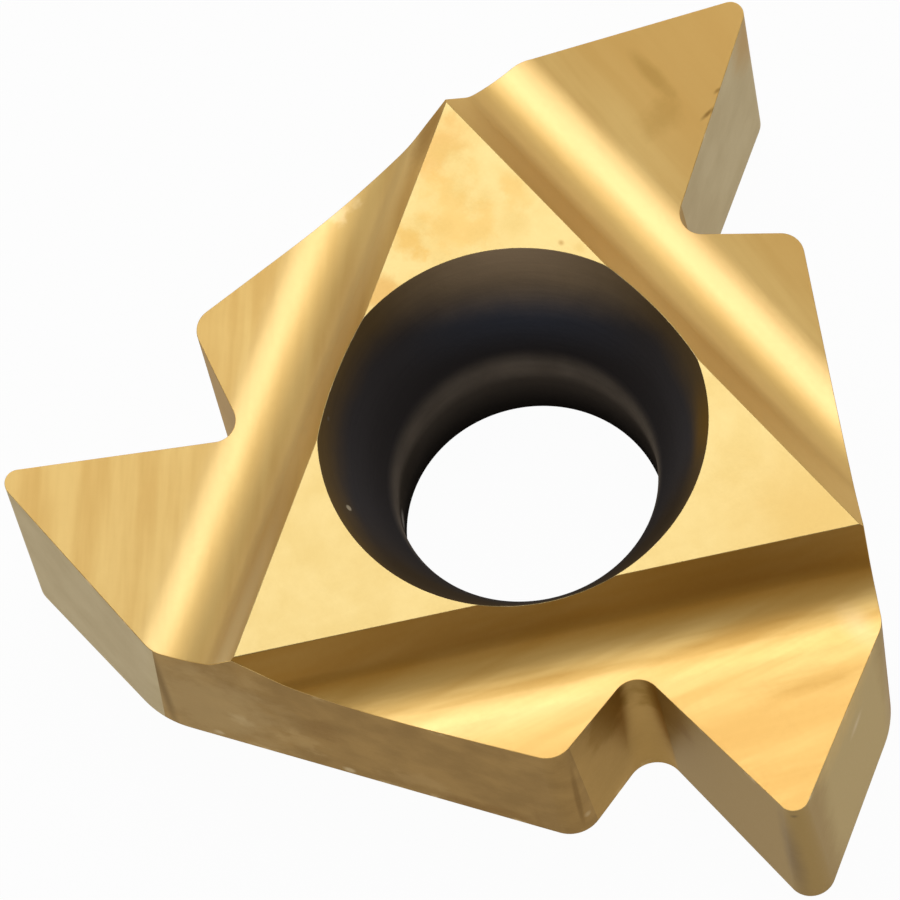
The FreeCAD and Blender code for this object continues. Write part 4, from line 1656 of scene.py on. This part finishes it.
            PatchSpec((-0.86, -2.53, 3.13), (0.06, 0.10, 0.09), (0.75, 0.62, 0.42), 1.0, 0.5, 0.1),
            PatchSpec((-1.2, -1.53, 0.61), (0.16, 0.20, 0.30), (0.85, 0.78, 0.68), 1.0, 0.8, 0.1),
        ),
    ),
    Zone.BASE: CoatingFinish("base_gold", (0.80, 0.57, 0.22), (0.66, 0.44, 0.15), rough=0.4),
}


@dataclass
class ThreadingInsert:
    """The insert: one piece of coated carbide, its mesh and its finishes."""

    sizes: InsertSizes = field(default_factory=InsertSizes)
    finishes: dict[Zone, CoatingFinish | SeatShadeFinish] = field(default_factory=lambda: dict(FINISHES))

    def build(self, effects: Effects) -> bpy.types.Object:
        """Makes the visual insert in the place of the CAD node.

        Args:
            effects: The shared node groups.

        Returns:
            The new piece.
        """
        piece = InsertMesh(self.sizes).build("ground_insert")
        for zone in Zone:
            piece.data.materials.append(self.finishes[zone].material(effects))
        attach(piece, BODY)
        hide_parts(NODE)
        log.info("%s: %d vertices, %d faces", piece.name, len(piece.data.vertices), len(piece.data.polygons))
        return piece


# Studio


@dataclass(frozen=True)
class Lamp:
    """Soft round studio lamp, placed by a direction from the insert."""

    name: str
    toward: tuple[float, float, float]
    distance: float
    size: float
    power: float
    colour: Colour = (1.0, 1.0, 1.0)

    def build(self) -> None:
        """Makes the lamp, aimed at the insert."""
        data = bpy.data.lights.new(self.name, "AREA")
        data.shape = "DISK"
        data.size = self.size
        data.energy = self.power
        data.color = self.colour
        lamp = bpy.data.objects.new(self.name, data)
        direction = Vector(self.toward).normalized()
        lamp.location = direction * self.distance
        lamp.rotation_euler = direction.to_track_quat("Z", "Y").to_euler()
        bpy.context.scene.collection.objects.link(lamp)
        log.info("lamp %s", self.name)


@dataclass(frozen=True)
class Studio:
    """Floor, lamps, plain surroundings and camera."""

    camera_place: tuple[float, float, float] = (0.124176333, -0.065743733, 0.304009367)
    camera_right: tuple[float, float, float] = (0.645639916, 0.756470490, -0.104410231)
    camera_up: tuple[float, float, float] = (-0.664919944, 0.624132273, 0.410293034)
    lens: float = 899.209
    sensor_width: float = 36.0
    clip: tuple[float, float] = (0.05, 20.0)
    surround: Colour = (0.22, 0.22, 0.225)
    floor_colour: Colour = (0.80, 0.80, 0.80)
    floor_glow: float = 0.97
    floor_reach: float = 3.0
    lamps: tuple[Lamp, ...] = (
        Lamp("key_softbox", (-0.42, 0.30, 0.86), 0.17, 0.13, 0.088),
        Lamp("low_fill", (-0.75, 0.50, 0.36), 0.30, 0.34, 0.115),
    )

    def build_camera(self) -> None:
        """Makes the camera at the photograph's place and turn."""
        data = bpy.data.cameras.new("camera")
        data.lens = self.lens
        data.sensor_width = self.sensor_width
        data.clip_start, data.clip_end = self.clip
        camera = bpy.data.objects.new("camera", data)
        right, up = Vector(self.camera_right).normalized(), Vector(self.camera_up)
        back = right.cross(up).normalized()
        up = back.cross(right)
        turn = Matrix((right, up, back)).transposed()
        camera.matrix_world = Matrix.Translation(self.camera_place) @ turn.to_4x4()
        bpy.context.scene.collection.objects.link(camera)
        bpy.context.scene.camera = camera
        log.info("camera")

    def build_floor(self) -> None:
        """Makes the pale floor under the insert. The camera and reflections see it near white."""
        signs = ((-1, -1), (1, -1), (1, 1), (-1, 1))
        corners = [(self.floor_reach * right, self.floor_reach * away, 0) for right, away in signs]
        mesh = bpy.data.meshes.new("floor")
        mesh.from_pydata(corners, [], [(0, 1, 2, 3)])
        floor = bpy.data.objects.new("floor", mesh)
        bpy.context.scene.collection.objects.link(floor)
        material, graph = new_material("floor_pale")
        matte = graph.feed(graph.node("ShaderNodeBsdfDiffuse"), Color=(*self.floor_colour, 1.0))
        glow = graph.feed(graph.node("ShaderNodeEmission"), Strength=1.0)
        path = graph.node("ShaderNodeLightPath").outputs
        seen = graph.math("ADD", path["Is Camera Ray"], path["Is Glossy Ray"])
        seen = graph.math("ADD", seen, path["Is Transmission Ray"], clamp=True)
        mix = graph.node("ShaderNodeMixShader")
        shares = (graph.math("MULTIPLY", seen, self.floor_glow), matte.outputs[0], glow.outputs[0])
        for value, socket in zip(shares, mix.inputs):
            graph.plug(value, socket)
        graph.end(mix)
        mesh.materials.append(material)
        log.info("floor")

    def build_surround(self) -> None:
        """Sets the plain grey surroundings of the studio."""
        world = bpy.data.worlds.new("studio")
        bpy.context.scene.world = world
        world.use_nodes = True
        background = world.node_tree.nodes["Background"]
        background.inputs["Color"].default_value = (*self.surround, 1.0)
        background.inputs["Strength"].default_value = 1.0

    def build(self) -> None:
        """Makes the whole studio."""
        self.build_camera()
        self.build_floor()
        self.build_surround()
        for lamp in self.lamps:
            lamp.build()
        bpy.context.scene.view_settings.view_transform = "Standard"


def main() -> None:
    """Builds the insert and the studio round it."""
    logging.basicConfig(level=logging.INFO, format="%(name)s: %(message)s")
    effects = Effects()
    ThreadingInsert().build(effects)
    Studio().build()


if __name__ == "__main__":
    main()
